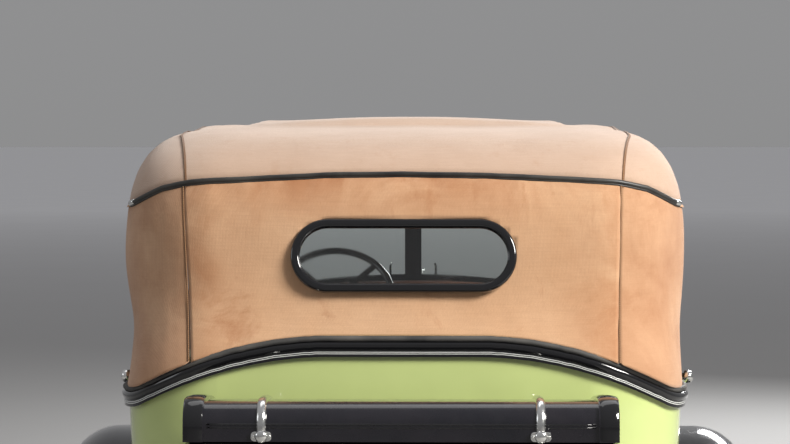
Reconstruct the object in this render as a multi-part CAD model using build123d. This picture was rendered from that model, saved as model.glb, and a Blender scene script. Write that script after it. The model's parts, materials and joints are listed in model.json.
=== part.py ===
from build123d import *

# A touring car of the late 1920s, top up, with a trunk on a rack behind the body.
# X points to the car's right, Y forward and Z up, in millimetres. The origin is on the
# road, midway between the outer faces of the two bumpers. Every function makes one piece
# of the real car, and the table at the end gives each piece its name.

import os
from math import asin, cos, degrees, hypot, radians, sin, sqrt, tan

# Whole car
LENGTH = 5120.0
WHEELBASE = 3250.0
REAR_AXLE_Y = -1270.0
FRONT_AXLE_Y = REAR_AXLE_Y + WHEELBASE
TRACK = 1480.0
WHEEL_X = TRACK / 2
FIT = 0.3  # running or seating gap between pieces that meet on a curve
DOOR_GAP = 5.0  # gap round every door, lid and bonnet panel

# Tyres and wheels
TYRE_R = 425.0
TYRE_W = 165.0
RIM_R = 256.0
RIM_W = 100.0
FELLOE_R = 234.0
FELLOE_IN_R = 205.0
FELLOE_W = 48.0
SPOKES = 12
HUB_R = 60.0
HUB_FLANGE_R = 86.0
HUB_W = 56.0
CAP_R = 44.0
CAP_OUT = 96.0
DRUM_R = 190.0
DRUM_IN = 88.0  # inner edge of the drum, from the wheel's middle plane
SPINDLE_R = 25.0
SPINDLE_OUT = 50.0
AXLE_Z = TYRE_R

# Chassis
RAIL_X = 375.0
RAIL_W = 60.0
RAIL_H = 140.0
RAIL_Z = 500.0
RAIL_WALL = 7.0
RAIL_REAR_Y = -2180.0
RAIL_FRONT_Y = 2370.0
RAIL_TOP = RAIL_Z + RAIL_H
KINGPIN_X = 600.0
KINGPIN_R = 11.0
BEAM_Z = 335.0
BEAM_H = 60.0
BEAM_W = 58.0
BOSS_R = 26.0
BOSS_Z0 = 385.0
BOSS_Z1 = 465.0
ARM_BACK = 150.0
TIE_EYE_H = 30.0
LEAF_W = 54.0
LEAF_T = 8.0
FRONT_SPRING = 800.0
LEAF_EYE_R = 14.0
FRONT_SPRING_RISE = 48.0
FRONT_LEAVES = 5
REAR_SPRING_RISE = 46.0
REAR_LEAVES = 6
SPRING_PAD = 8.0
REAR_SPRING = 1180.0
REAR_SPRING_X = 480.0
AXLE_TUBE_R = 42.0
DIFF_R = 150.0
GEARBOX_Y = 765.0
EXHAUST_X = 262.0

# Body: the tub, its doors and its floor
SILL_Z = 600.0
FLOOR_Z = RAIL_TOP + 2.0
FLOOR_T = 25.0
WALL = 40.0
BELT_Z = 1050.0  # lower edge of the belt moulding along the doors
BELT_H = 50.0  # from there to the top of the body side
BODY_FRONT_Y = 700.0
TAPER_Y = -700.0
TAPER = 100.0  # how much narrower the body is at the windshield
CORNER_R = 260.0
REAR_BOW = 25.0
# Plan sections of the tub: height, half width, rearmost point
BODY_SECTIONS = [(SILL_Z, 677.0, -1925.0), (850.0, 701.0, -1965.0), (1110.0, 712.0, -1985.0), (1300.0, 711.0, -1972.0)]
# The belt rises in a short ramp behind the doors and in a long sweep over the rear panel
BELT_RAMP_Y = (-1540.0, -1345.0)
BELT_RAMP_R = 400.0
SWEEP_SPLIT_Y = -1560.0  # behind this station the belt is drawn from behind, before it from the side
SWEEP_RISE = 172.0
SWEEP_FLAT_X = 177.0
SWEEP_R = 980.0
SWEEP_TOE_R = 100.0
REACH = 900.0  # half width, and reach forward, of the tools that trim the body
LOW_Z = 300.0  # a height below the whole body
MOULD_OUT = 13.0
MOULD_H = 38.0
ARCH_R = 532.0
REAR_DOOR_Y = (-755.0, -85.0)
FRONT_DOOR_Y = (0.0, 640.0)
DOOR_Z = 620.0
DOOR_CORNER_R = 60.0
DOOR_BEVEL = 20.0  # slope of each door's free edge, so that it swings clear
HINGE_Z = (740.0, 1015.0)
HINGE_R = 7.0
HINGE_PIN_R = 3.5
HINGE_OUT = 14.0  # hinge line outside the widest skin
HINGE_L = 24.0
HINGE_LUG = 14.0
HINGE_ARM = 22.0
SEAT_HALF = 600.0

# Cowl, bonnet and radiator: station, half width, crown height, edge height, corner radius
FIREWALL_Y = 1080.0
RADIATOR_Y = 1960.0
COWL_REAR = (BODY_FRONT_Y, 612.0, 1262.0, 1200.0, 108.0)
COWL_FRONT = (FIREWALL_Y, 500.0, 1246.0, 1185.0, 100.0)
HOOD_FRONT = (RADIATOR_Y, 292.0, 1196.0, 1150.0, 80.0)
HOOD_Z = 655.0
HOOD_ROD_R = 5.0
HOOD_HINGE_SET = 1.0  # centre hinge line, below the crown
HOOD_BEAD_R = 6.0
HOOD_JOINT_R = HOOD_ROD_R + FIT  # the top leaves stop this far from the centre hinge
SHEET = 5.0
LOUVRES = 22
LOUVRE_PITCH = 36.0
LOUVRE_L = 24.0
LOUVRE_OUT = 9.0
LOUVRE_WALL = 2.0
LOUVRE_Z = (765.0, 985.0)
SHUTTERS = 22
SHUTTER_DEPTH = 10.0
CORE_T = 55.0
CORE_SET = 30.0  # how far the core's face lies behind the shell's
COWL_WALL = 20.0
RADIATOR_T = 100.0
RADIATOR_OUT = 9.0
RADIATOR_Z = 540.0
RADIATOR_BEZEL = 42.0

# Fenders, running boards, bumpers, lamps
FENDER_R = 545.0
FENDER_OUT_X = 935.0
FENDER_CROWN_R = 140.0
FENDER_T = 6.0
FENDER_LIP = 44.0
REAR_FENDER_END = 148.0
REAR_FENDER_TAIL = 330.0
FRONT_FENDER_START = 18.0
FRONT_FENDER_END = 132.0
FRONT_FENDER_SWEEP_R = 300.0
REAR_FENDER_IN_X = 640.0
FRONT_FENDER_IN_X = 560.0
BOARD_Z = 400.0
BOARD_T = 30.0
BOARD_OUT_X = 925.0
BOARD_REAR_Y = REAR_AXLE_Y + FENDER_R - 12.0
BOARD_FRONT_Y = 1100.0
APRON_INSET = 12.0  # apron of the running board, in from the sill's outer face
LEDGE_Z = RAIL_TOP + FIT
BUMPER_Z = 430.0
BUMPER_BAR_H = 50.0
BUMPER_BAR_T = 10.0
BUMPER_GAP = 50.0
LAMP_R = 138.0
LAMP_L = 210.0
LAMP_X = 395.0
LAMP_Y = 2010.0
LAMP_Z = 935.0
LAMP_BAR_Z = 735.0
SPARE_X = 745.0
SPARE_Y = 1150.0
SPARE_Z = 872.0
WELL_GAP = 8.0

# Top
CLOTH = 12.0
# Plan sections of the raised top: height, half width, rearmost point, corner radius
TOP_SECTIONS = [
    (1040.0, 714.0, -1987.0, 262.0),
    (1270.0, 713.0, -1974.0, 262.0),
    (1490.0, 725.0, -1925.0, 264.0),
    (1674.0, 701.0, -1880.0, 250.0),
    (1772.0, 618.0, -1690.0, 220.0),
    (1845.0, 420.0, -1290.0, 180.0),
]
DECK_PEAK_Y = -600.0
DECK_PEAK_Z = 1832.0
DECK_LONG_R = 18800.0
DECK_CROSS_R = 5400.0
QUARTER_Y = -1335.0  # front edge of the side quarter at the belt
QUARTER_LEAN = 150.0
FLAP_Z = 1705.0  # lower edge of the deck's side flaps
WINDOW_L = 566.0
WINDOW_H = 187.0
WINDOW_Z = 1470.0
WINDOW_Y = -1931.0
WINDOW_TILT = 13.0
WINDOW_RIM = 23.0
WINDOW_DEPTH = 26.0
GLASS_T = 5.0
BOW_Y = (-1285.0, -620.0, 60.0)
HEADER_Y = (638.0, 690.0)
BOW_W = 34.0
BOW_T = 22.0
BOW_LEG_Z = 1708.0
BOW_RAIL_H = 22.0
TOP_TAPER = 38.0
TOP_FRONT_Y = BODY_FRONT_Y + 8.0
PIVOT_Y = -1302.0
PIVOT_Z = 1112.0
PIVOT_X = 782.0
PIVOT_IN_X = 668.0

# Windshield, steering and trunk
SHIELD_BASE_Y = 722.0
SHIELD_TOP_Y = 664.0
SHIELD_TOP_Z = 1726.0
SHIELD_HALF = 585.0
SHIELD_TOP_HALF = 562.0
SHIELD_FOOT = 36.0
SHIELD_DEPTH = 20.0
SHIELD_FOOT_Z = 1292.0
SHIELD_BAR = 26.0
SHIELD_POST_W = 58.0
SHIELD_CURVE_R = 2800.0
STEER_POS = (-256.0, 130.0, 1239.0)
STEER_R = 205.0
STEER_RIM_R = 11.0
STEER_BOSS = 17.0
COLUMN_TILT = 38.0
COLUMN_R = 19.0
COLUMN_L = 985.0
PANEL_Y = 678.0
TRUNK_HALF = 503.0
TRUNK_REAR_Y = -2421.0
TRUNK_FRONT_Y = -2062.0
TRUNK_FLOOR_Z = 655.0
LID_Z = 1060.0
LID_SIDE = 37.0
LID_CORNER_R = 52.0
LID_FALL = 34.0
TRUNK_WALL = 10.0
LID_HINGE_X = 300.0
LID_HINGE_L = 36.0
LID_HINGE_R = 6.5
LID_HINGE_Y = TRUNK_FRONT_Y + 8.0
LID_HINGE_Z = LID_Z - DOOR_GAP / 2
TRUNK_BIND_W = 45.0
TRUNK_BIND_T = 7.0
STRAP_X = 327.0
STRAP_W = 23.0
STRAP_T = 8.0
RACK_Y = (-2410.0, -2320.0, -2230.0, -2100.0)
TAIL_LAMP = (590.0, -2402.0, 668.0)
TAIL_LAMP_R = 44.0
TAIL_LAMP_L = 64.0


def block(x0, x1, y0, y1, z0, z1):
    """A plain block between two corners."""
    return Pos((x0 + x1) / 2, (y0 + y1) / 2, (z0 + z1) / 2) * Box(x1 - x0, y1 - y0, z1 - z0)


def rod(start, end, radius):
    """A round bar from one point to another."""
    a, b = Vector(*start), Vector(*end)
    return Plane(a, z_dir=b - a) * Cylinder(radius, (b - a).length, align=(Align.CENTER, Align.CENTER, Align.MIN))


def disc_x(x0, x1, y, z, radius):
    """A round bar that lies along X."""
    return rod((x0, y, z), (x1, y, z), radius)


def rounded(points, corners=()):
    """A closed outline, with (corner number, radius) for each corner that is rounded."""
    face = make_face(Polyline(*points, close=True))
    for index, radius in corners:
        corner = Vector(*points[index])
        face = fillet(min(face.vertices(), key=lambda v: (Vector(*v) - corner).length), radius)
    return face


def from_side(face, x0, x1):
    """An outline in Y and Z, drawn out along X."""
    return Pos(x0, 0, 0) * extrude(Plane.YZ * face, x1 - x0)


def from_behind(face, y0, y1):
    """An outline in X and Z, drawn out along Y."""
    return Pos(0, y1, 0) * extrude(Plane.XZ * face, y1 - y0)


def mirrored(shape):
    """The same piece on the car's other side."""
    return mirror(shape, about=Plane.YZ)


def pair(shape):
    """The piece and its twin on the other side, as two solids."""
    return Compound(children=[*shape.solids(), *mirrored(shape).solids()])


def plan(z, half, rear, corner, inset=0.0, front=BODY_FRONT_Y, taper=TAPER):
    """The body's outline from above at one height: bowed rear, round corners, sides that taper."""
    side, back, turn = half - inset, rear + inset, corner - inset
    front_x = side_x(front, side, taper)
    mid_y = (front + TAPER_Y) / 2
    mid_x = side_x(mid_y, side, taper)
    bow_y = back + REAR_BOW
    edges = [
        Line((-front_x, front), (front_x, front)),
        ThreePointArc((front_x, front), (mid_x, mid_y), (side, TAPER_Y)),
        Line((side, TAPER_Y), (side, bow_y)),
        ThreePointArc((side, bow_y), (0, back), (-side, bow_y)),
        Line((-side, bow_y), (-side, TAPER_Y)),
        ThreePointArc((-side, TAPER_Y), (-mid_x, mid_y), (-front_x, front)),
    ]
    face = make_face(edges)
    for x in (side, -side):
        face = fillet(min(face.vertices(), key=lambda v: (Vector(*v) - Vector(x, bow_y)).length), turn)
    return Pos(0, 0, z) * face


def side_x(y, half, taper=TAPER):
    """Half width of the body at a station, for a section of that half width."""
    if y <= TAPER_Y:
        return half
    body_l = BODY_FRONT_Y - TAPER_Y
    taper_r = (body_l**2 + taper**2) / (2 * taper)
    return half - taper_r + sqrt(taper_r**2 - (y - TAPER_Y) ** 2)


def skin_x(y, z):
    """Where the body's skin lies at a station and a height."""
    for (z0, half0, _), (z1, half1, _) in zip(BODY_SECTIONS, BODY_SECTIONS[1:]):
        if z <= z1:
            return side_x(y, half0 + (half1 - half0) * (z - z0) / (z1 - z0))


def tub_volume(inset):
    """The body's outer form, or its inside when inset by the wall."""
    return loft([plan(z, half, rear, CORNER_R, inset) for z, half, rear in BODY_SECTIONS])


def sweep_angle():
    """How steep the belt's sweep gets, seen from behind, before its toe levels it out again."""
    return asin((BODY_SECTIONS[2][1] - SWEEP_FLAT_X) / (SWEEP_R + SWEEP_TOE_R))


def corner_rise():
    """How far the belt has risen where its ramp meets the foot of its sweep."""
    return SWEEP_RISE - (SWEEP_R + SWEEP_TOE_R) * (1 - cos(sweep_angle()))


def belt_line(lift):
    """The belt's edge seen from behind, as a face that covers all below it."""
    angle, top, side = sweep_angle(), BELT_Z + SWEEP_RISE + lift, BODY_SECTIONS[2][1]
    foot = BELT_Z + corner_rise() + lift
    half_sin, half_drop = sin(angle / 2), 1 - cos(angle / 2)
    turn = (SWEEP_FLAT_X + SWEEP_R * sin(angle), top - SWEEP_R * (1 - cos(angle)))
    mid = (SWEEP_FLAT_X + SWEEP_R * half_sin, top - SWEEP_R * half_drop)
    toe = (side - SWEEP_TOE_R * half_sin, foot + SWEEP_TOE_R * half_drop)
    edges = [Line((-SWEEP_FLAT_X, top), (SWEEP_FLAT_X, top)), Line((-REACH, LOW_Z), (REACH, LOW_Z))]
    for s in (1, -1):
        edges += [
            ThreePointArc((s * SWEEP_FLAT_X, top), (s * mid[0], mid[1]), (s * turn[0], turn[1])),
            ThreePointArc((s * turn[0], turn[1]), (s * toe[0], toe[1]), (s * side, foot)),
            Line((s * side, foot), (s * REACH, foot)),
            Line((s * REACH, foot), (s * REACH, LOW_Z)),
        ]
    return make_face(edges)


def below_belt(lift):
    """All that lies below the belt line, raised by lift: level beside the doors, swept up behind."""
    rear = from_behind(belt_line(lift), BODY_SECTIONS[2][2] - REACH / 2, SWEEP_SPLIT_Y)
    level, foot = BELT_Z + lift, BELT_Z + corner_rise() + lift
    points = [(SWEEP_SPLIT_Y, LOW_Z), (REACH, LOW_Z), (REACH, level), (BELT_RAMP_Y[1], level), (BELT_RAMP_Y[0], foot),
              (SWEEP_SPLIT_Y, foot)]
    side = rounded(points, [(3, BELT_RAMP_R)])
    return rear + from_side(side, -REACH, REACH)


def door_hole(y0, y1, grow):
    """The outline of a door, seen from the side, drawn out through one wall."""
    low, high = DOOR_Z - grow, BELT_Z + 200
    face = rounded(
        [(y0 - grow, low), (y1 + grow, low), (y1 + grow, high), (y0 - grow, high)],
        [(0, DOOR_CORNER_R), (1, DOOR_CORNER_R)],
    )
    return from_side(face, 500, 900)


def body_shell():
    """Tub walls with their top edge cut to the belt line."""
    return (tub_volume(0) - tub_volume(WALL)) & below_belt(BELT_H)


def body_tub(shell):
    """Rear panel, quarters, centre posts and sills, with the doors and wheel arches cut out."""
    tub = shell
    for y0, y1 in (REAR_DOOR_Y, FRONT_DOOR_Y):
        hole = door_hole(y0, y1, DOOR_GAP)
        tub -= hole + mirrored(hole)
    arch_cut = disc_x(560, 900, REAR_AXLE_Y, AXLE_Z, ARCH_R)
    tub -= arch_cut + mirrored(arch_cut)
    half = RAIL_X + RAIL_W / 2 + 3
    tub -= block(-half, half, -2100, -1700, SILL_Z - 5, RAIL_TOP + 3)
    for z in HINGE_Z:
        for hinge_y, way in ((FRONT_DOOR_Y[0] - DOOR_GAP / 2, -1), (REAR_DOOR_Y[1] + DOOR_GAP / 2, 1)):
            leaf = hinge_lugs(hinge_y, z, way)
            tub += leaf
            tub += mirrored(leaf)
    return tub


def hinge_line(hinge_y):
    """How far out the pins of a door's hinges stand."""
    return skin_x(hinge_y, BELT_Z + BELT_H) + HINGE_OUT


def hinge_arm(hinge_y, z0, z1, way):
    """Cranked arm from a hinge pin into the body side, on the side of the pin given by way."""
    x, near, far = hinge_line(hinge_y), HINGE_R + 1, HINGE_R + 1 + HINGE_ARM
    root = skin_x(hinge_y, z0) - 10
    y0, y1 = sorted((hinge_y + way * near, hinge_y + way * far))
    strap_y0, strap_y1 = sorted((hinge_y, hinge_y + way * far))
    arm = block(root, x, y0, y1, z0, z1) + block(x - 5, x + 5, strap_y0, strap_y1, z0, z1)
    return arm + rod((x, hinge_y, z0), (x, hinge_y, z1), HINGE_R)


def hinge_lugs(hinge_y, z, way):
    """The post's half of a hinge: two lugs and the pin between them."""
    x, half = hinge_line(hinge_y), HINGE_L / 2
    end = half + FIT + HINGE_LUG
    lugs = hinge_arm(hinge_y, z - end, z + end, way)
    lugs -= rod((x, hinge_y, z - half - FIT), (x, hinge_y, z + half + FIT), HINGE_R + FIT)
    slot_y0, slot_y1 = sorted((hinge_y, hinge_y + way * (HINGE_R + 1)))
    lugs -= block(x - 9, x + 9, slot_y0, slot_y1, z - half - FIT, z + half + FIT)
    return lugs + rod((x, hinge_y, z - end), (x, hinge_y, z + end), HINGE_PIN_R)


def hinge_knuckle(hinge_y, z, way):
    """The door's half of a hinge: one knuckle that turns on the pin."""
    x, half = hinge_line(hinge_y), HINGE_L / 2
    knuckle_part = hinge_arm(hinge_y, z - half, z + half, way)
    return knuckle_part - rod((x, hinge_y, z - half - 5), (x, hinge_y, z + half + 5), HINGE_PIN_R + FIT)


def door(shell, span, hinge_y):
    """One right-hand door: its length of the body side, bevelled at its free edge, with two knuckles."""
    free = max(span, key=lambda y: abs(y - hinge_y))
    way = 1 if free > hinge_y else -1
    leaf = shell & door_hole(*span, 0)
    depth = WALL + 15
    wedge = []
    for z, half, _ in BODY_SECTIONS:
        x = side_x(free, half)
        corner = (x - depth, free - way * depth * tan(radians(DOOR_BEVEL)))
        wedge.append(Pos(0, 0, z) * make_face(Polyline((x, free), (x - depth, free), corner, close=True)))
    leaf -= loft(wedge, ruled=True)
    for z in HINGE_Z:
        leaf += hinge_knuckle(hinge_y, z, way)
    return leaf


def body_floor():
    """Floor boards and sloping toe board, with the rear wheelhouses and the seat boxes."""
    half, rear = BODY_SECTIONS[0][1] - WALL - 12, BODY_SECTIONS[0][2] + WALL + 20
    floor = extrude(plan(FLOOR_Z, half, rear, CORNER_R - WALL, 0, BODY_FRONT_Y - 4), FLOOR_T)
    toe = [(600, FLOOR_Z), (620, FLOOR_Z), (1055, 905), (1055, 930), (600, FLOOR_Z + FLOOR_T)]
    floor = floor + from_side(rounded(toe), -440, 440)
    house_in = SEAT_HALF + 18
    house = disc_x(house_in - 8, 760, REAR_AXLE_Y, AXLE_Z, ARCH_R + 10)
    house -= disc_x(house_in, 770, REAR_AXLE_Y, AXLE_Z, ARCH_R)
    house &= block(0, 900, -1900, 0, FLOOR_Z, 1200) & tub_volume(WALL + FIT)
    clear = disc_x(house_in, 900, REAR_AXLE_Y, AXLE_Z, ARCH_R)
    floor = floor - clear - mirrored(clear) + house + mirrored(house)
    for y0, y1, top in ((-400, 60, 800), (-1700, -1120, 790)):
        half_seat = SEAT_HALF - 20
        floor += block(-half_seat, half_seat, y0, y1, FLOOR_Z, top)
    return floor - rod(STEER_POS, column_end(), COLUMN_R + 8)


def column_end():
    """Lower end of the steering column."""
    x, y, z = STEER_POS
    tilt = radians(COLUMN_TILT)
    return (x, y + COLUMN_L * cos(tilt), z - COLUMN_L * sin(tilt))


def arch(station, bottom, inset=0.0, y=None):
    """A bonnet or cowl section: flat sides, round shoulders and a crowned top."""
    at, half, crown, edge, turn = station
    half, crown, edge, turn = half - inset, crown - inset, edge - inset, turn - inset
    edges = [
        Line((-half, bottom), (half, bottom)),
        Line((half, bottom), (half, edge)),
        ThreePointArc((half, edge), (0, crown), (-half, edge)),
        Line((-half, edge), (-half, bottom)),
    ]
    face = make_face(edges)
    for x in (half, -half):
        face = fillet(min(face.vertices(), key=lambda v: (Vector(*v) - Vector(x, edge)).length), turn)
    return Plane((0, at if y is None else y, 0), x_dir=(1, 0, 0), z_dir=(0, -1, 0)) * face


def blend(a, b, y):
    """The section between two stations at a given Y."""
    t = (y - a[0]) / (b[0] - a[0])
    return tuple(p + (q - p) * t for p, q in zip(a, b))


def cowl_volume(grow=0.0):
    """Outer form of the scuttle between windshield and bonnet."""
    return loft([arch(COWL_REAR, SILL_Z, -grow), arch(COWL_FRONT, SILL_Z, -grow)])


def hinge_top():
    """Height of the bonnet's centre hinge at its rear and front ends."""
    return COWL_FRONT[2] - HOOD_HINGE_SET, HOOD_FRONT[2] - HOOD_HINGE_SET


def cowl():
    """The scuttle, hollow, closed at the front by the firewall, with the bonnet's centre hinge rod."""
    near = blend(COWL_REAR, COWL_FRONT, BODY_FRONT_Y - 1)
    far = blend(COWL_REAR, COWL_FRONT, FIREWALL_Y - 12)
    inner = loft([arch(near, SILL_Z - 1, COWL_WALL), arch(far, SILL_Z - 1, COWL_WALL)])
    shell = cowl_volume() - inner
    shell -= block(-450, 450, FIREWALL_Y - 30, FIREWALL_Y + 5, SILL_Z - 5, 880)
    rear_z, front_z = hinge_top()
    return shell + rod((0, FIREWALL_Y - 5, rear_z), (0, RADIATOR_Y - FIT, front_z), HOOD_ROD_R)


def hood_skin():
    """The bonnet's sheet from cowl to radiator."""
    back = blend(COWL_FRONT, HOOD_FRONT, FIREWALL_Y + DOOR_GAP)
    front = blend(COWL_FRONT, HOOD_FRONT, RADIATOR_Y - DOOR_GAP)
    outer = loft([arch(back, HOOD_Z), arch(front, HOOD_Z)])
    back_in = blend(COWL_FRONT, HOOD_FRONT, FIREWALL_Y)
    front_in = blend(COWL_FRONT, HOOD_FRONT, RADIATOR_Y)
    inner = loft([arch(back_in, HOOD_Z - 5, SHEET), arch(front_in, HOOD_Z - 5, SHEET)])
    return outer - inner


SHOULDER_Z = (1072.0, 1062.0)  # height of the joint between bonnet top and side, rear and front


def hood_top(skin):
    """Right top leaf of the bonnet, from the centre hinge to the shoulder."""
    y0, y1 = FIREWALL_Y - 10, RADIATOR_Y + 10
    high = rounded([(y0, SHOULDER_Z[0]), (y1, SHOULDER_Z[1]), (y1, 1400), (y0, 1400)])
    leaf = skin & from_side(high, HOOD_JOINT_R, 700)
    return leaf - shoulder_rod(HOOD_BEAD_R + FIT)


def shoulder_rod(radius):
    """A bar along the hinge line between the bonnet's top leaf and its side leaf."""
    back = blend(COWL_FRONT, HOOD_FRONT, FIREWALL_Y + DOOR_GAP)
    front = blend(COWL_FRONT, HOOD_FRONT, RADIATOR_Y - DOOR_GAP)
    inset = SHEET / 2
    return rod((back[1] - inset, back[0], SHOULDER_Z[0]), (front[1] - inset, front[0], SHOULDER_Z[1]), radius)


def louvres():
    """The row of pressed hoods along the right side leaf, each open at its rear."""
    back = blend(COWL_FRONT, HOOD_FRONT, FIREWALL_Y + DOOR_GAP)
    front = blend(COWL_FRONT, HOOD_FRONT, RADIATOR_Y - DOOR_GAP)
    length = hypot(front[1] - back[1], front[0] - back[0])
    along = ((front[1] - back[1]) / length, (front[0] - back[0]) / length)
    first = (length - LOUVRE_PITCH * (LOUVRES - 1) - LOUVRE_L) / 2
    low, high = LOUVRE_Z

    def at(run, out):
        return (back[1] + along[0] * run + along[1] * out, back[0] + along[1] * run - along[0] * out)

    row = []
    for n in range(LOUVRES):
        run = first + n * LOUVRE_PITCH
        hood = make_face(Polyline(at(run, -1), at(run, LOUVRE_OUT), at(run + LOUVRE_L, 0), at(run + LOUVRE_L, -1), close=True))
        mouth = make_face(Polyline(at(run - 1, 0), at(run - 1, LOUVRE_OUT - LOUVRE_WALL), at(run + LOUVRE_L / 2, 0), close=True))
        hollow = extrude(Pos(0, 0, low + LOUVRE_WALL) * mouth, high - low - 2 * LOUVRE_WALL)
        row.append(extrude(Pos(0, 0, low) * hood, high - low) - hollow)
    return row


def hood_side(skin):
    """Right side leaf of the bonnet, louvred, hung from a bead along the shoulder."""
    y0, y1 = FIREWALL_Y - 10, RADIATOR_Y + 10
    low = rounded([(y0, 500), (y1, 500), (y1, SHOULDER_Z[1] - 2), (y0, SHOULDER_Z[0] - 2)])
    leaf = (skin & from_side(low, 100, 700)) + shoulder_rod(HOOD_BEAD_R)
    return leaf + louvres()


def radiator_shell():
    """Bright shell round the radiator, deeper than the bonnet, with a filler cap."""
    at, half, crown, edge, turn = HOOD_FRONT
    out = (at, half + RADIATOR_OUT, crown + RADIATOR_OUT, edge + RADIATOR_OUT, turn + RADIATOR_OUT)
    face = arch(out, RADIATOR_Z, 0, RADIATOR_Y + RADIATOR_T)
    hole = arch(out, RADIATOR_Z + RADIATOR_BEZEL, RADIATOR_BEZEL, RADIATOR_Y + RADIATOR_T + 1)
    shell = extrude(face, RADIATOR_T) - extrude(hole, RADIATOR_T + 2)
    neck_y = RADIATOR_Y + RADIATOR_T / 2
    top = crown + RADIATOR_OUT
    neck = rod((0, neck_y, top - 20), (0, neck_y, top + 18), 22)
    cap = rod((0, neck_y, top + 18), (0, neck_y, top + 40), 34)
    return shell + neck + fillet(cap.edges(), 6)


def radiator_core():
    """The core, seen through the bezel, with its upright shutters."""
    at, half, crown, edge, turn = HOOD_FRONT
    inset = RADIATOR_BEZEL - RADIATOR_OUT + FIT
    core = (at, half, crown, edge, turn)
    low = RADIATOR_Z + RADIATOR_BEZEL + FIT
    face_y = RADIATOR_Y + RADIATOR_T - CORE_SET
    room = extrude(arch(core, low, inset, face_y + SHUTTER_DEPTH), CORE_T + SHUTTER_DEPTH)
    width = 2 * half
    pitch = width / SHUTTERS
    saw = [(-half, face_y - CORE_T)]
    for n in range(SHUTTERS):
        left = n * pitch - half
        saw += [(left, face_y), (left + pitch, face_y + SHUTTER_DEPTH)]
    saw += [(half, face_y - CORE_T)]
    return room & extrude(Pos(0, 0, low) * make_face(Polyline(*saw, close=True)), crown - low)


def wheel():
    """A wood-spoked wheel with steel rim, hub, cap and brake drum; its axle lies along X, outside to +X."""
    hub_face = [
        (-60, 0), (-60, 45), (-HUB_W / 2 + 2, 45), (-HUB_W / 2 + 2, HUB_FLANGE_R), (HUB_W / 2, HUB_FLANGE_R),
        (HUB_W / 2, 50), (70, 46), (70, CAP_R), (CAP_OUT - 14, CAP_R), (CAP_OUT, CAP_R - 18), (CAP_OUT, 0),
    ]
    hub = revolve(rounded(hub_face), Axis.X)
    ring = revolve(
        rounded([(-FELLOE_W / 2, FELLOE_IN_R), (FELLOE_W / 2, FELLOE_IN_R), (FELLOE_W / 2, FELLOE_R),
                 (RIM_W / 2, FELLOE_R), (RIM_W / 2, RIM_R - FIT), (-RIM_W / 2, RIM_R - FIT),
                 (-RIM_W / 2, FELLOE_R), (-FELLOE_W / 2, FELLOE_R)]),
        Axis.X,
    )
    drum = revolve(
        rounded([(-36, 40), (-28, 40), (-28, DRUM_R), (-DRUM_IN, DRUM_R), (-DRUM_IN, DRUM_R - 9), (-36, DRUM_R - 9)]),
        Axis.X,
    )
    inner = Plane((0, 0, 55), x_dir=(1, 0, 0), z_dir=(0, 0, 1)) * RectangleRounded(40, 34, 12)
    outer = Plane((0, 0, FELLOE_IN_R + 4), x_dir=(1, 0, 0), z_dir=(0, 0, 1)) * RectangleRounded(36, 30, 12)
    spoke = loft([inner, outer])
    spokes = [Rot(360.0 / SPOKES * n, 0, 0) * spoke for n in range(SPOKES)]
    body = hub + ring + drum
    for piece in spokes:
        body += piece
    bore = disc_x(-70, SPINDLE_OUT + 4, 0, 0, SPINDLE_R + FIT)
    return body - bore


def tyre():
    """A high balloon tyre, solid, standing on the rim."""
    half = TYRE_W / 2
    bead = 47.0
    edges = [
        Line((-bead, RIM_R), (bead, RIM_R)),
        ThreePointArc((bead, RIM_R), (half, RIM_R + 82), (half - 20, TYRE_R - 18)),
        ThreePointArc((half - 20, TYRE_R - 18), (0, TYRE_R), (20 - half, TYRE_R - 18)),
        ThreePointArc((20 - half, TYRE_R - 18), (-half, RIM_R + 82), (-bead, RIM_R)),
    ]
    return revolve(make_face(edges), Axis.X)


def leaf_spring(length, rise, leaves):
    """A half-elliptic spring: arched leaves of falling length under a main leaf with two eyes."""
    radius = ((length / 2) ** 2 + rise**2) / (2 * rise)
    spring = None
    for n in range(leaves):
        near, far = radius + n * LEAF_T, radius + (n + 1) * LEAF_T
        turn = asin(length / 2 / radius) * (1 - n / (leaves + 0.5))
        a, b = (sin(turn), -cos(turn)), (0, -1)
        edges = [
            ThreePointArc((-near * a[0], near * a[1]), (0, near * b[1]), (near * a[0], near * a[1])),
            Line((near * a[0], near * a[1]), (far * a[0], far * a[1])),
            ThreePointArc((far * a[0], far * a[1]), (0, far * b[1]), (-far * a[0], far * a[1])),
            Line((-far * a[0], far * a[1]), (-near * a[0], near * a[1])),
        ]
        leaf = from_side(Pos(0, radius + leaves * LEAF_T) * make_face(edges), -LEAF_W / 2, LEAF_W / 2)
        spring = leaf if spring is None else spring + leaf
    for s in (1, -1):
        spring += disc_x(-LEAF_W / 2, LEAF_W / 2, s * length / 2, eye_height(rise, leaves), LEAF_EYE_R)
    return spring


def eye_height(rise, leaves):
    """Height of a spring's eyes above its underside."""
    return leaves * LEAF_T + rise - LEAF_EYE_R


def springs():
    """Four springs, the front pair under the rails and the rear pair outside them."""
    front = leaf_spring(FRONT_SPRING, FRONT_SPRING_RISE, FRONT_LEAVES)
    rear = leaf_spring(REAR_SPRING, REAR_SPRING_RISE, REAR_LEAVES)
    front = Pos(RAIL_X, FRONT_AXLE_Y, front_spring_z()) * front
    return pair(front + Pos(REAR_SPRING_X, REAR_AXLE_Y, rear_spring_z()) * rear)


def front_spring_z():
    """Underside of the front springs, on their pads."""
    return BEAM_Z + BEAM_H + SPRING_PAD


def rear_spring_z():
    """Underside of the rear springs, on their pads."""
    return AXLE_Z + AXLE_TUBE_R + SPRING_PAD


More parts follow.
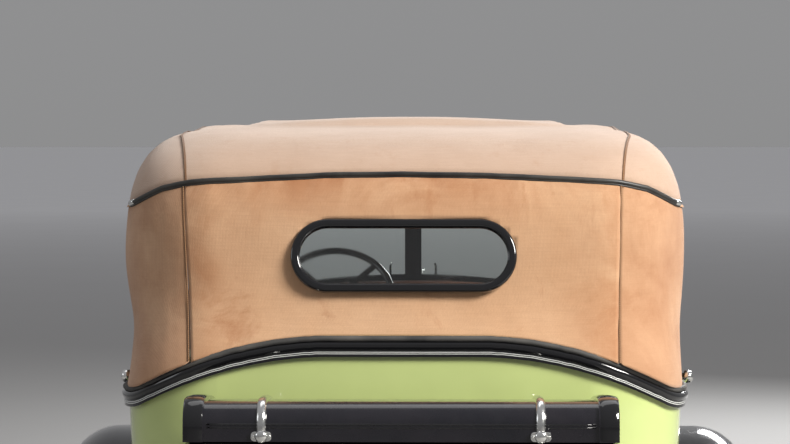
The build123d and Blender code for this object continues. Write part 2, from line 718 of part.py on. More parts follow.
def rail_side(grow=0.0):
    """Outline of a chassis rail from the side, grown all round."""
    top, low, g = RAIL_TOP + grow, RAIL_Z - grow, grow
    return rounded([(RAIL_REAR_Y - g, low + 50), (RAIL_REAR_Y - g, top), (2010, top), (RAIL_FRONT_Y + g, 560 + g),
                    (RAIL_FRONT_Y + g, 510 - g), (2050, low), (-1750, low)])


def chassis_frame():
    """Two channel rails, kicked down at the front, joined by cross members, with the spring hangers."""
    outer_x, inner_x = RAIL_X + RAIL_W / 2, RAIL_X - RAIL_W / 2
    rail = from_side(rail_side(), inner_x, outer_x)
    rail -= from_side(offset(rail_side(), -RAIL_WALL), inner_x - 1, outer_x - RAIL_WALL)
    eye_z = front_spring_z() + eye_height(FRONT_SPRING_RISE, FRONT_LEAVES)
    for y in (FRONT_AXLE_Y - FRONT_SPRING / 2, FRONT_AXLE_Y + FRONT_SPRING / 2):
        for x in (RAIL_X - LEAF_W / 2 - FIT - 7, RAIL_X + LEAF_W / 2 + FIT):
            rail += block(x, x + 7, y - 18, y + 18, eye_z - 16, RAIL_Z + 25)
    eye_z = rear_spring_z() + eye_height(REAR_SPRING_RISE, REAR_LEAVES)
    for y in (REAR_AXLE_Y - REAR_SPRING / 2, REAR_AXLE_Y + REAR_SPRING / 2):
        rail += disc_x(outer_x - RAIL_WALL, REAR_SPRING_X - LEAF_W / 2 - FIT, y, eye_z, 20)
    frame = rail + mirrored(rail)
    inside = outer_x - RAIL_WALL + 2
    for y, z0 in ((-2130, 555), (-1560, 555), (-420, 555), (700, 585), (2010, 502)):
        z1 = RADIATOR_Z - FIT if y > FIREWALL_Y else RAIL_TOP - RAIL_WALL + 1
        frame += block(-inside, inside, y - 40, y + 40, z0, z1)
    eye = block(-45, 45, RAIL_REAR_Y + 8, RAIL_REAR_Y + 60, 545, 600) + block(-30, 30, -2250, RAIL_REAR_Y + 12, 556, 576)
    return frame + eye - rod((0, -2222, 540), (0, -2222, 590), 14)


def front_axle():
    """Forged beam that drops between the springs, with the kingpin bosses."""
    half = 430.0
    low, high = BEAM_Z, BEAM_Z + BEAM_H
    right = [(half, low), (KINGPIN_X - 35, 388), (KINGPIN_X, 388), (KINGPIN_X, 460), (KINGPIN_X - 45, 460), (half - 6, high)]
    outline = [*right, *[(-x, z) for x, z in reversed(right)]]
    beam = from_behind(rounded(outline), -BEAM_W / 2, BEAM_W / 2)
    web = from_behind(offset(rounded(outline), -13), BEAM_W / 2 - 20, BEAM_W / 2 + 1)
    beam = beam - web - mirror(web, about=Plane.XZ)
    for s in (1, -1):
        beam += rod((s * KINGPIN_X, 0, BOSS_Z0), (s * KINGPIN_X, 0, BOSS_Z1), BOSS_R)
        beam += block(s * RAIL_X - 40, s * RAIL_X + 40, -60, 60, high - 2, high + 7.7)
    for s in (1, -1):
        beam -= rod((s * KINGPIN_X, 0, BOSS_Z0 - 5), (s * KINGPIN_X, 0, BOSS_Z1 + 5), KINGPIN_R + FIT)
    return Pos(0, FRONT_AXLE_Y, 0) * beam


def knuckle():
    """Right steering knuckle: forked ears on the kingpin, spindle, brake plate and steering arm."""
    ears = None
    for z0 in (BOSS_Z1 + 2, BOSS_Z0 - 20):
        ear = rod((KINGPIN_X, 0, z0), (KINGPIN_X, 0, z0 + 18), 24) + block(KINGPIN_X, 636, -24, 24, z0, z0 + 18)
        ears = ear if ears is None else ears + ear
    pin = rod((KINGPIN_X, 0, BOSS_Z0 - 22), (KINGPIN_X, 0, BOSS_Z1 + 24), KINGPIN_R)
    web = block(632, 641, -42, 42, BOSS_Z0 - 20, BOSS_Z1 + 20)
    spindle = disc_x(638, WHEEL_X + SPINDLE_OUT, 0, AXLE_Z, SPINDLE_R)
    plate = disc_x(640, WHEEL_X - DRUM_IN - 6, 0, AXLE_Z, DRUM_R - 14)
    arm = block(KINGPIN_X - 14, KINGPIN_X + 14, -ARM_BACK, 0, BOSS_Z0 - 20, BOSS_Z0 - 2)
    arm += rod((KINGPIN_X, -ARM_BACK, BOSS_Z0 - 20), (KINGPIN_X, -ARM_BACK, BOSS_Z0 - 2), 18)
    hole = rod((KINGPIN_X, -ARM_BACK, BOSS_Z0 - 30), (KINGPIN_X, -ARM_BACK, BOSS_Z0 + 5), 8 + FIT)
    return Pos(0, FRONT_AXLE_Y, 0) * (ears + pin + web + spindle + plate + arm - hole)


def tie_rod():
    """Track rod between the two steering arms, with an eye and a pin at each end."""
    z = BOSS_Z0 - 20 - TIE_EYE_H / 2 - 1
    bar = disc_x(-KINGPIN_X, KINGPIN_X, 0, z, 11)
    for s in (1, -1):
        bar += rod((s * KINGPIN_X, 0, z - TIE_EYE_H / 2), (s * KINGPIN_X, 0, z + TIE_EYE_H / 2), 18)
        bar += rod((s * KINGPIN_X, 0, z), (s * KINGPIN_X, 0, BOSS_Z0 - 3), 8)
    return Pos(0, FRONT_AXLE_Y - ARM_BACK, 0) * bar


def rear_axle():
    """Axle tubes with the round final drive case, brake plates, spring seats and torque tube."""
    axle = disc_x(-642, 642, 0, AXLE_Z, AXLE_TUBE_R)
    case = Pos(0, 0, AXLE_Z) * Rot(0, 90, 0) * Cylinder(DIFF_R, 190)
    axle += fillet(case.edges(), 60)
    axle += rod((0, 0, AXLE_Z), (0, 250, AXLE_Z + 12), 62)
    axle += rod((0, 200, AXLE_Z + 10), (0, GEARBOX_Y - 3 - REAR_AXLE_Y, 530), 34)
    for s in (1, -1):
        axle += disc_x(s * 640, s * (WHEEL_X + SPINDLE_OUT), 0, AXLE_Z, SPINDLE_R)
        axle += disc_x(s * 640, s * (WHEEL_X - DRUM_IN - 6), 0, AXLE_Z, DRUM_R - 14)
        pad_x, pad_top = s * REAR_SPRING_X, rear_spring_z() - FIT
        axle += block(pad_x - 36, pad_x + 36, -60, 60, AXLE_Z + 20, pad_top)
    return Pos(0, REAR_AXLE_Y, 0) * axle


def engine_block():
    """Engine and gearbox as one plain block at their place, on two arms to the rails."""
    engine = block(-170, 170, 1140, 1850, 520, 1010) + block(-120, 120, GEARBOX_Y, 1140, 480, 712)
    arm = RAIL_X + RAIL_W / 2 - RAIL_WALL - FIT
    for y in (1200, 1760):
        engine += block(-arm, arm, y - 25, y + 25, 560, 600)
    return engine


def exhaust():
    """Exhaust pipe and silencer beside the right rail, kicked up over the rear axle."""
    pipe = rod((EXHAUST_X, -2200, 520), (EXHAUST_X, -900, 520), 24) + rod((EXHAUST_X, -905, 520), (EXHAUST_X, -770, 470), 24)
    pipe += rod((EXHAUST_X, -200, 470), (EXHAUST_X, 1150, 470), 24)
    pipe += rod((EXHAUST_X, -780, 470), (EXHAUST_X, -190, 470), 68)
    for y in (-500, 815):
        pipe += block(EXHAUST_X + 12, RAIL_X, y - 15, y + 15, RAIL_Z - 24, RAIL_Z - FIT)
    return pipe


def fuel_tank():
    """Cross-laid drum tank slung between the rear ends of the rails on a carrier bar."""
    tank = disc_x(-300, 200, -1850, 515, 105)
    tank = fillet(tank.edges(), 18)
    inside = RAIL_X + RAIL_W / 2 - RAIL_WALL - FIT
    return tank + block(-inside, inside, -1875, -1825, 600, RAIL_TOP - RAIL_WALL - FIT)


def fender_section(inner_x, lip=0.0):
    """A fender's sheet seen along its run, with a lip turned down at its inner edge: X across, outward up."""
    crown_x = FENDER_OUT_X - FENDER_CROWN_R
    r, t = FENDER_CROWN_R, FENDER_T
    end = radians(14)
    mid = radians(52)
    edges = [
        Line((inner_x, 0), (crown_x, 0)),
        ThreePointArc((crown_x, 0), (crown_x + r * cos(mid), r * sin(mid) - r), (crown_x + r * cos(end), r * sin(end) - r)),
        Line((crown_x + r * cos(end), r * sin(end) - r), (crown_x + (r - t) * cos(end), (r - t) * sin(end) - r)),
        ThreePointArc(
            (crown_x + (r - t) * cos(end), (r - t) * sin(end) - r),
            (crown_x + (r - t) * cos(mid), (r - t) * sin(mid) - r),
            (crown_x, -t),
        ),
        Line((crown_x, -t), (inner_x, -t)),
        Line((inner_x, -t), (inner_x, 0)),
    ]
    section = make_face(edges)
    if lip:
        section += Pos(inner_x + t / 2, -lip / 2) * Rectangle(t, lip)
    return section


def fender_run(axle_y, start, end, tail, sweep_r=0.0):
    """The run of a fender in Y and Z: an arc over its wheel, a straight tail and, at sweep_r, a reverse curve."""
    def at(angle):
        return (axle_y + FENDER_R * cos(radians(angle)), AXLE_Z + FENDER_R * sin(radians(angle)))

    first, last = at(start), at(end)
    fall = radians(end - 90)
    toe = (last[0] - tail * cos(fall), last[1] - tail * sin(fall))
    edges = [ThreePointArc(first, at((start + end) / 2), last), Line(last, toe)]
    if sweep_r:
        foot = (toe[0] - sweep_r * sin(fall), toe[1] - sweep_r * (1 - cos(fall)))
        mid = (toe[0] - sweep_r * (sin(fall) - sin(fall / 2)), toe[1] - sweep_r * (cos(fall / 2) - cos(fall)))
        edges.append(ThreePointArc(toe, mid, foot))
    return edges


def sweep_fender(edges, start, inner_x, lip=0.0):
    """The right fender sheet along its run."""
    angle = radians(start)
    head = edges[0] @ 0
    place = Plane((0, head.X, head.Y), x_dir=(1, 0, 0), z_dir=(0, -sin(angle), cos(angle)))
    flip = place.y_dir.dot(Vector(0, cos(angle), sin(angle))) < 0
    section = fender_section(inner_x, lip)
    section = place * (mirror(section, about=Plane.XZ) if flip else section)
    return sweep(section, path=Plane.YZ * Wire(edges))


def front_run():
    """Run of the front fender, down to the top of the running board."""
    floor_z = BOARD_Z + BOARD_T + FIT + FENDER_T
    fall = radians(FRONT_FENDER_END - 90)
    drop = AXLE_Z + FENDER_R * cos(fall) - floor_z - FRONT_FENDER_SWEEP_R * (1 - cos(fall))
    return fender_run(FRONT_AXLE_Y, FRONT_FENDER_START, FRONT_FENDER_END, drop / sin(fall), FRONT_FENDER_SWEEP_R)


def run_height(edges, y):
    """Height of a fender's run above the road at a station."""
    for edge in edges:
        t = [(edge @ (n / 40)) for n in range(41)]
        for a, b in zip(t, t[1:]):
            if min(a.X, b.X) <= y <= max(a.X, b.X):
                return a.Y + (b.Y - a.Y) * (y - a.X) / (b.X - a.X)


def front_apron(edges):
    """Sheet from the front fender's inner edge down to a ledge beside the bonnet and on the rail."""
    lip, outer_x = FRONT_FENDER_IN_X + FENDER_T / 2, RAIL_X + RAIL_W / 2 + 6
    stations = []
    for y in (1190, 1320, 1480, 1640, 1800, FRONT_AXLE_Y, 2120, 2250, 2360):
        half = blend(COWL_FRONT, HOOD_FRONT, y)[1] + 6
        x = max(half, outer_x) if y < RADIATOR_Y else outer_x
        z = LEDGE_Z + SHEET if y < 2010 else LEDGE_Z + SHEET - (y - 2010) * 80 / (RAIL_FRONT_Y - 2010)
        crest = run_height(edges, y) - FENDER_LIP / 2
        points = [(x, z), (lip, crest), (lip, crest - SHEET), (x, z - SHEET)]
        face = make_face(Polyline(*points, close=True))
        stations.append(Plane((0, y, 0), x_dir=(1, 0, 0), z_dir=(0, -1, 0)) * face)
    apron = loft(stations, ruled=True)
    back = blend(COWL_FRONT, HOOD_FRONT, FIREWALL_Y + DOOR_GAP)[1] + 7
    ledge = [(RAIL_X - 20, FIREWALL_Y + 5), (back, FIREWALL_Y + 5), (outer_x + 2, 1470), (outer_x + 2, RADIATOR_Y - 2),
             (RAIL_X - 20, RADIATOR_Y - 2)]
    return apron + Pos(0, 0, LEDGE_Z) * extrude(make_face(Polyline(*ledge, close=True)), SHEET)


def fenders():
    """Four crowned fenders; the front pair carry wells for the spare wheels."""
    board_top = BOARD_Z + BOARD_T + FIT
    rear_start = degrees(asin((board_top - AXLE_Z) / FENDER_R))
    rear = fender_run(REAR_AXLE_Y, rear_start, REAR_FENDER_END, REAR_FENDER_TAIL)
    rear = sweep_fender(rear, rear_start, REAR_FENDER_IN_X) - tub_volume(-FIT)
    edges = front_run()
    front = sweep_fender(edges, FRONT_FENDER_START, FRONT_FENDER_IN_X, FENDER_LIP)
    front -= block(0, 1000, 900, 1500, 200, board_top)
    x0, x1 = SPARE_X - TYRE_W / 2 - WELL_GAP, SPARE_X + TYRE_W / 2 + WELL_GAP
    centre_z = SPARE_Z + WELL_GAP - FIT
    hole = disc_x(x0, x1, SPARE_Y, centre_z, TYRE_R + WELL_GAP)
    well = disc_x(x0 - SHEET, x1 + SHEET, SPARE_Y, centre_z, TYRE_R + WELL_GAP + SHEET) - hole
    start, foot = edges[1] @ 0, edges[2] @ 1
    under = make_face([edges[1], edges[2], Line(foot, (foot.X, board_top)), Line((foot.X, board_top), (start.X, board_top)),
                       Line((start.X, board_top), start)])
    under = Pos(0, -FENDER_T / 2) * under & Pos(SPARE_Y, board_top + 500) * Rectangle(2000, 1000)
    front = (front - hole) + (well & from_side(under, x0 - SHEET, x1 + SHEET))
    return pair(rear) + pair(front + front_apron(edges))


def running_boards():
    """Step boards with the splash apron that closes up to the sill, on three arms from the rail."""
    y0, y1 = BOARD_REAR_Y, BOARD_FRONT_Y
    _, half, rear = BODY_SECTIONS[0]
    inside = extrude(plan(BOARD_Z - 1, half, rear, CORNER_R, APRON_INSET + SHEET, y1 + 5), 300)
    wall = extrude(plan(BOARD_Z, half, rear, CORNER_R, APRON_INSET, y1), SILL_Z - FIT - BOARD_Z) - inside
    board = block(300, BOARD_OUT_X, y0, y1, BOARD_Z, BOARD_Z + BOARD_T) - inside
    board += wall & block(300, 900, REAR_AXLE_Y + FENDER_R + FIT, y1, BOARD_Z, SILL_Z)
    rail = RAIL_X + RAIL_W / 2 + FIT
    for y in (-560, 180, 900):
        board += block(rail, BOARD_OUT_X - 200, y - 25, y + 25, BOARD_Z - 12, BOARD_Z)
        board += block(rail, rail + 12, y - 25, y + 25, BOARD_Z - 12, RAIL_Z + 90)
    return pair(board)


def bumper(y, s):
    """A two-bar bumper; s is 1 for one that faces forward."""
    half, bend = 850.0, 90.0
    bars = None
    for z in (BUMPER_Z, BUMPER_Z + BUMPER_GAP + BUMPER_BAR_H):
        edges = [
            ThreePointArc((-half, y - s * bend), (0, y), (half, y - s * bend)),
            Line((half, y - s * bend), (half, y - s * (bend + BUMPER_BAR_T))),
            ThreePointArc((half, y - s * (bend + BUMPER_BAR_T)), (0, y - s * BUMPER_BAR_T), (-half, y - s * (bend + BUMPER_BAR_T))),
            Line((-half, y - s * (bend + BUMPER_BAR_T)), (-half, y - s * bend)),
        ]
        bar = Pos(0, 0, z) * extrude(make_face(edges), BUMPER_BAR_H)
        bars = bar if bars is None else bars + bar
    end = RAIL_FRONT_Y - 120 if s > 0 else RAIL_REAR_Y + 120
    x = RAIL_X + RAIL_W / 2 + FIT
    face_y = y - s * (bend * (x / half) ** 2 + BUMPER_BAR_T - 2)
    y0, y1 = sorted((face_y, face_y - s * 14))
    bracket = block(x - 10, x + 24, y0, y1, BUMPER_Z - 10, BUMPER_Z + 160)
    y0, y1 = sorted((face_y, end))
    bracket += block(x, x + 11, y0, y1, 528, 562)
    return bars + bracket + mirrored(bracket)


def headlamp():
    """Right headlamp: a deep bowl with its rim, on a post from the frame rail."""
    bowl = [(0, 0), (30, 55), (90, 108), (LAMP_L - 28, LAMP_R - 8), (LAMP_L - 28, LAMP_R), (LAMP_L, LAMP_R),
            (LAMP_L, LAMP_R - 12), (LAMP_L - 6, 0)]
    shape = revolve(rounded(bowl, [(1, 30), (2, 60)]), Axis.X)
    shape = Pos(LAMP_X, LAMP_Y, LAMP_Z) * Rot(0, 0, 90) * shape
    post_y = LAMP_Y + LAMP_L / 2
    return shape + rod((RAIL_X, post_y, RAIL_Z + 60), (LAMP_X, post_y, LAMP_Z - 100), 14) - from_side(rail_side(FIT), 300, 420)


def headlamps():
    """Both headlamps with the tie bar between their posts."""
    lamps = headlamp()
    bar = disc_x(-RAIL_X - 2, RAIL_X + 2, LAMP_Y + LAMP_L / 2, LAMP_BAR_Z, 11)
    return lamps + mirrored(lamps) + bar


def windshield_plane():
    """The windshield's leaning plane: X across, second coordinate up the glass, from its foot."""
    lean = Vector(0, SHIELD_TOP_Y - SHIELD_BASE_Y, SHIELD_TOP_Z - SHIELD_FOOT_Z)
    return Plane((0, SHIELD_BASE_Y, SHIELD_FOOT_Z), x_dir=(1, 0, 0), z_dir=Vector(1, 0, 0).cross(lean))


def foot_curve(x, lift=0.0):
    """Height of the windshield's foot bar above its middle."""
    return lift - (SHIELD_CURVE_R - sqrt(SHIELD_CURVE_R**2 - x**2))


def shield_outline(inset, post=0.0):
    """The windshield's outline in its own plane, or half of it beside the centre post."""
    height = hypot(SHIELD_TOP_Y - SHIELD_BASE_Y, SHIELD_TOP_Z - SHIELD_FOOT_Z)
    low = inset - SHIELD_BAR if inset else -SHIELD_FOOT
    right, right_top, top = SHIELD_HALF - inset, SHIELD_TOP_HALF - inset, height - inset
    left, left_top = (post, post) if post else (-right, -right_top)
    mid = (left + right) / 2
    return make_face([
        ThreePointArc((left, foot_curve(left, low)), (mid, foot_curve(mid, low)), (right, foot_curve(right, low))),
        Line((right, foot_curve(right, low)), (right_top, top)),
        Line((right_top, top), (left_top, top)),
        Line((left_top, top), (left, foot_curve(left, low))),
    ])


def windshield_frame():
    """Frame of the windshield with its broad centre post and the side stanchions down to the cowl."""
    place = windshield_plane()
    frame = extrude(place * shield_outline(0), SHIELD_DEPTH / 2, both=True)
    hole = extrude(place * shield_outline(SHIELD_BAR, SHIELD_POST_W / 2), SHIELD_DEPTH, both=True)
    frame = frame - hole - mirrored(hole)
    foot_y = SHIELD_BASE_Y + 22
    side = side_x(foot_y, BODY_SECTIONS[2][1])
    stanchion = rod((side + 13, foot_y, 1090), (SHIELD_HALF + 1, SHIELD_BASE_Y - 10, 1370), 11)
    stanchion += block(side - 20, side + 20, foot_y - 14, foot_y + 14, 1070, 1120)
    return frame + stanchion + mirrored(stanchion) - cowl_volume(FIT)


def glass():
    """Window glass: the two panes of the windshield and the long pane in the rear curtain."""
    pane = extrude(windshield_plane() * shield_outline(SHIELD_BAR + FIT, SHIELD_POST_W / 2 + FIT), GLASS_T / 2, both=True)
    rear = extrude(window_plane() * window_outline(WINDOW_RIM + FIT), GLASS_T / 2, both=True)
    return Compound(children=[*pane.solids(), *mirrored(pane).solids(), *rear.solids()])


def window_plane():
    """Plane of the rear window, leaning forward with the curtain, facing back."""
    tilt = radians(WINDOW_TILT)
    return Plane((0, WINDOW_Y, WINDOW_Z), x_dir=(1, 0, 0), z_dir=(0, -cos(tilt), sin(tilt)))


def window_outline(inset):
    """The rear window's long rounded outline."""
    return SlotOverall(WINDOW_L - 2 * inset, WINDOW_H - 2 * inset)


def rear_window_frame():
    """Bright black rim round the rear window."""
    ring = extrude(window_plane() * (window_outline(0) - window_outline(WINDOW_RIM)), WINDOW_DEPTH / 2, both=True)
    edges = ring.edges().filter_by(lambda e: e.length > WINDOW_H / 2)
    return fillet(edges, 8)


def top_volume(inset):
    """The raised top's outer form, or its inside when inset by the cloth."""
    front = TOP_FRONT_Y + (20 if inset else 0)
    sections = [plan(z, half, rear, corner, inset, front, TOP_TAPER) for z, half, rear, corner in TOP_SECTIONS]
    peak = DECK_PEAK_Z - inset
    drop = DECK_CROSS_R - sqrt(DECK_CROSS_R**2 - 800**2)
    under = make_face([
        ThreePointArc((-800, peak - drop), (0, peak), (800, peak - drop)),
        Line((800, peak - drop), (800, 900)),
        Line((800, 900), (-800, 900)),
        Line((-800, 900), (-800, peak - drop)),
    ])
    axis = Axis((0, DECK_PEAK_Y, peak - DECK_LONG_R), (1, 0, 0))
    face = Pos(0, DECK_PEAK_Y, 0) * (Plane.XZ * under)
    deck = revolve(face.rotate(axis, 5), axis, -10)
    return loft(sections) & deck


def side_opening():
    """What is open between the quarter and the windshield, under the deck's side flaps."""
    front = BODY_FRONT_Y + 40
    points = [(QUARTER_Y, 900), (QUARTER_Y, BELT_Z), (QUARTER_Y + QUARTER_LEAN, FLAP_Z), (front, FLAP_Z), (front, 900)]
    return from_side(rounded(points, [(2, 120)]), -900, 900)


def top_fabric(outer, inner):
    """The cloth: deck, side quarters and rear curtain, open at the sides and front."""
    shell = outer - inner - side_opening() - below_belt(BELT_H + FIT)
    hole = extrude(window_plane() * window_outline(-FIT), 60, both=True)
    return shell - hole


def top_frame(ring):
    """Bent wood bows under the deck, the side rails that link them, and the legs down to their pivots."""
    frame = ring & block(-900, 900, *HEADER_Y, SHIELD_TOP_Z + 2, 2000)
    for y in BOW_Y:
        frame += ring & block(-900, 900, y - BOW_W / 2, y + BOW_W / 2, BOW_LEG_Z, 2000)
    frame += ring & block(-900, 900, BOW_Y[0] - BOW_W / 2, HEADER_Y[1], SHIELD_TOP_Z + 2, SHIELD_TOP_Z + 2 + BOW_RAIL_H)
    (z0, half0, *_), (z1, half1, *_) = TOP_SECTIONS[3:5]
    hip = half0 + (half1 - half0) * (BOW_LEG_Z - z0) / (z1 - z0) - CLOTH - BOW_T
    leg = rod((hip, BOW_Y[0], BOW_LEG_Z + 12), (PIVOT_IN_X, PIVOT_Y, PIVOT_Z), 9)
    leg += rod((PIVOT_IN_X - 8, PIVOT_Y, PIVOT_Z), (PIVOT_X, PIVOT_Y, PIVOT_Z), 8)
    seat_z = BELT_Z + BELT_H + FIT
    leg += block(PIVOT_IN_X, PIVOT_IN_X + 30, PIVOT_Y - 12, PIVOT_Y + 12, seat_z, PIVOT_Z)
    return frame + leg + mirrored(leg)


def belt_moulding():
    """Raised black moulding that follows the belt round the rear panel and along to the doors."""
    ring = tub_volume(-MOULD_OUT) - tub_volume(-FIT)
    band = below_belt(MOULD_H) - below_belt(0)
    return ring & band & block(-900, 900, -2100, REAR_DOOR_Y[0] - DOOR_GAP, 300, 2000)


def trunk_profile(inset=0.0):
    """The trunk lid's outline from the side: upright back, round corner, gently crowned top."""
    rear, front = TRUNK_REAR_Y + inset, TRUNK_FRONT_Y - inset
    r = LID_CORNER_R - inset
    shoulder = LID_Z + LID_SIDE
    crest = shoulder + r
    crest_y = rear + r
    top_r = ((front - crest_y) ** 2 + LID_FALL**2) / (2 * LID_FALL)
    mid_y = (crest_y + front) / 2
    mid_z = crest - top_r + sqrt(top_r**2 - (mid_y - crest_y) ** 2)
    turn = radians(45)
    return make_face([
        Line((rear, LID_Z), (rear, shoulder)),
        ThreePointArc((rear, shoulder), (crest_y - r * cos(turn), shoulder + r * sin(turn)), (crest_y, crest)),
        ThreePointArc((crest_y, crest), (mid_y, mid_z), (front, crest - LID_FALL)),
        Line((front, crest - LID_FALL), (front, LID_Z)),
        Line((front, LID_Z), (rear, LID_Z)),
    ])


def trunk_lid():
    """Hollow lid with a raised binding at each end and two hinge knuckles at its front."""
    lid = from_side(trunk_profile(), -TRUNK_HALF, TRUNK_HALF)
    inside = TRUNK_HALF - TRUNK_WALL
    rear, front = TRUNK_REAR_Y + TRUNK_WALL, TRUNK_FRONT_Y - TRUNK_WALL
    lid -= from_side(trunk_profile(TRUNK_WALL), -inside, inside)
    lid -= block(-inside, inside, rear, front, LID_Z - 5, LID_Z + 30)
    band = from_side(trunk_profile(-TRUNK_BIND_T), TRUNK_HALF - TRUNK_BIND_W, TRUNK_HALF + 2)
    band -= from_side(trunk_profile(0), TRUNK_HALF - TRUNK_BIND_W - 1, TRUNK_HALF)
    band &= block(0, 900, TRUNK_REAR_Y - 50, TRUNK_FRONT_Y, LID_Z, 1300)
    x0, x1 = LID_HINGE_X - LID_HINGE_L / 2, LID_HINGE_X + LID_HINGE_L / 2
    knuckle_part = disc_x(x0, x1, LID_HINGE_Y, LID_HINGE_Z, LID_HINGE_R) + block(x0, x1, TRUNK_FRONT_Y - 1, LID_HINGE_Y, LID_Z, LID_Z + 25)
    knuckle_part -= disc_x(x0 - 5, x1 + 5, LID_HINGE_Y, LID_HINGE_Z, HINGE_PIN_R + FIT)
    right = band + knuckle_part
    return lid + right + mirrored(right)


def trunk_body():
    """Box of the trunk, open at the top, with bound ends and the lugs of the lid's hinges."""
    top = LID_Z - DOOR_GAP
    box = block(-TRUNK_HALF, TRUNK_HALF, TRUNK_REAR_Y, TRUNK_FRONT_Y, TRUNK_FLOOR_Z + FIT, top)
    w = TRUNK_WALL
    box -= block(-TRUNK_HALF + w, TRUNK_HALF - w, TRUNK_REAR_Y + w, TRUNK_FRONT_Y - w, TRUNK_FLOOR_Z + w, top + 5)
    x0, x1 = LID_HINGE_X - LID_HINGE_L / 2 - FIT, LID_HINGE_X + LID_HINGE_L / 2 + FIT
    lugs = disc_x(x0 - 20, x1 + 20, LID_HINGE_Y, LID_HINGE_Z, LID_HINGE_R)
    lugs += block(x0 - 20, x1 + 20, TRUNK_FRONT_Y - 1, LID_HINGE_Y, top - 25, top)
    lugs -= block(x0, x1, TRUNK_FRONT_Y, LID_HINGE_Y + 20, top - 15, top + 20)
    lugs += disc_x(x0 - 20, x1 + 20, LID_HINGE_Y, LID_HINGE_Z, HINGE_PIN_R)
    lugs += block(TRUNK_HALF - TRUNK_BIND_W, TRUNK_HALF + 2, TRUNK_REAR_Y - TRUNK_BIND_T, TRUNK_REAR_Y + 1, TRUNK_FLOOR_Z + FIT, top)
    return box + lugs + mirrored(lugs)


def trunk_straps():
    """Two bright straps over the lid, each down to its latch."""
    strap = from_side(trunk_profile(-STRAP_T), STRAP_X - STRAP_W / 2, STRAP_X + STRAP_W / 2)
    strap -= from_side(trunk_profile(-FIT), STRAP_X - STRAP_W, STRAP_X + STRAP_W)
    strap &= block(0, 900, TRUNK_REAR_Y - 60, TRUNK_FRONT_Y, LID_Z + 6, 1300)
    plate = block(STRAP_X - 24, STRAP_X + 24, TRUNK_REAR_Y - 9, TRUNK_REAR_Y - FIT, LID_Z + 2, LID_Z + 24)
    return pair(strap + plate)


def tail_lamp():
    """Right tail lamp: a small round drum on an arm from the rack's rear slat."""
    x, y, z = TAIL_LAMP
    r, length = TAIL_LAMP_R, TAIL_LAMP_L
    drum = [(0, 0), (0, r / 2), (length / 3, r - 5), (length - 12, r - 5), (length - 12, r), (length, r), (length, 0)]
    lamp = Pos(x, y, z) * Rot(0, 0, -90) * revolve(rounded(drum, [(1, 10)]), Axis.X)
    arm_z = RAIL_TOP + 4
    return lamp + rod((TRUNK_HALF - 40, RACK_Y[0], arm_z), (x, y - length / 2, arm_z), 8)


def trunk_rack():
    """Bearers from the frame, cross slats for the trunk to stand on, and the two tail lamps."""
    rack = None
    for s in (1, -1):
        bearer = block(s * RAIL_X - 18, s * RAIL_X + 18, -2440, RAIL_REAR_Y - FIT, 590, RAIL_TOP)
        rack = bearer if rack is None else rack + bearer
    for y in RACK_Y:
        rack += block(-TRUNK_HALF + 20, TRUNK_HALF - 20, y - 15, y + 15, RAIL_TOP, TRUNK_FLOOR_Z)
    lamp = tail_lamp()
    return rack + lamp + mirrored(lamp)


def steering_wheel():
    """Four-spoked steering wheel on its boss."""
    wheel_part = Torus(STEER_R - STEER_RIM_R, STEER_RIM_R) + Cylinder(30, 2 * STEER_BOSS)
    for n in range(4):
        wheel_part += Rot(0, 0, 45 + 90 * n) * Pos(STEER_R / 2, 0, 0) * Box(STEER_R - 16, 18, 7)
    return steering_place() * wheel_part


def steering_place():
    """Plane of the steering wheel; its normal points back and up at the driver."""
    tilt = radians(COLUMN_TILT)
    return Plane(STEER_POS, x_dir=(1, 0, 0), z_dir=(0, -cos(tilt), sin(tilt)))


def steering_column():
    """Column tube and steering box on the left rail."""
    x, y, z = STEER_POS
    tilt = radians(COLUMN_TILT)
    down = STEER_BOSS + FIT
    start, end = (x, y + down * cos(tilt), z - down * sin(tilt)), column_end()
    inner_x = RAIL_X - RAIL_W / 2
    return rod(start, end, COLUMN_R) + block(-inner_x + FIT, x + 34, end[1] - 60, end[1] + 80, 560, 650)


def instrument_panel():
    """Dash board across the rear rim of the cowl."""
    panel = from_behind(rounded([(-600, 1060), (600, 1060), (600, 1300), (-600, 1300)]), PANEL_Y, BODY_FRONT_Y - FIT)
    near = skin_x(BODY_FRONT_Y, BELT_Z) - WALL - 4
    shape = arch((PANEL_Y, near, COWL_REAR[2] - 8, COWL_REAR[3] - 8, COWL_REAR[4]), 1060)
    return panel & extrude(shape, BODY_FRONT_Y - PANEL_Y, both=True)


def seat(y0, y1, z0, z1, back, back_top, half):
    """A bench: thick cushion and leaning back, as two soft solids."""
    cushion = from_side(rounded([(y0, z0), (y1, z0), (y1, z1 - 10), (y0, z1 - 30)], [(2, 50), (3, 20)]), -half, half)
    lean = 60.0
    rest = from_side(
        rounded([(y0 - back, z0), (y0 - 8, z0), (y0 - 8 - lean * 0.3, back_top), (y0 - back - lean, back_top)], [(2, 40), (3, 40)]),
        -half, half)
    return [cushion, rest]


def seats():
    """Front and rear bench, each a cushion and a back."""
    front = seat(-390, 80, 800.3, 945, 120, 1175, SEAT_HALF)
    rear = seat(-1590, -1080, 790.3, 925, 130, 1165, SEAT_HALF - 2)
    return Compound(children=[s for shape in (*front, *rear) for s in shape.solids()])


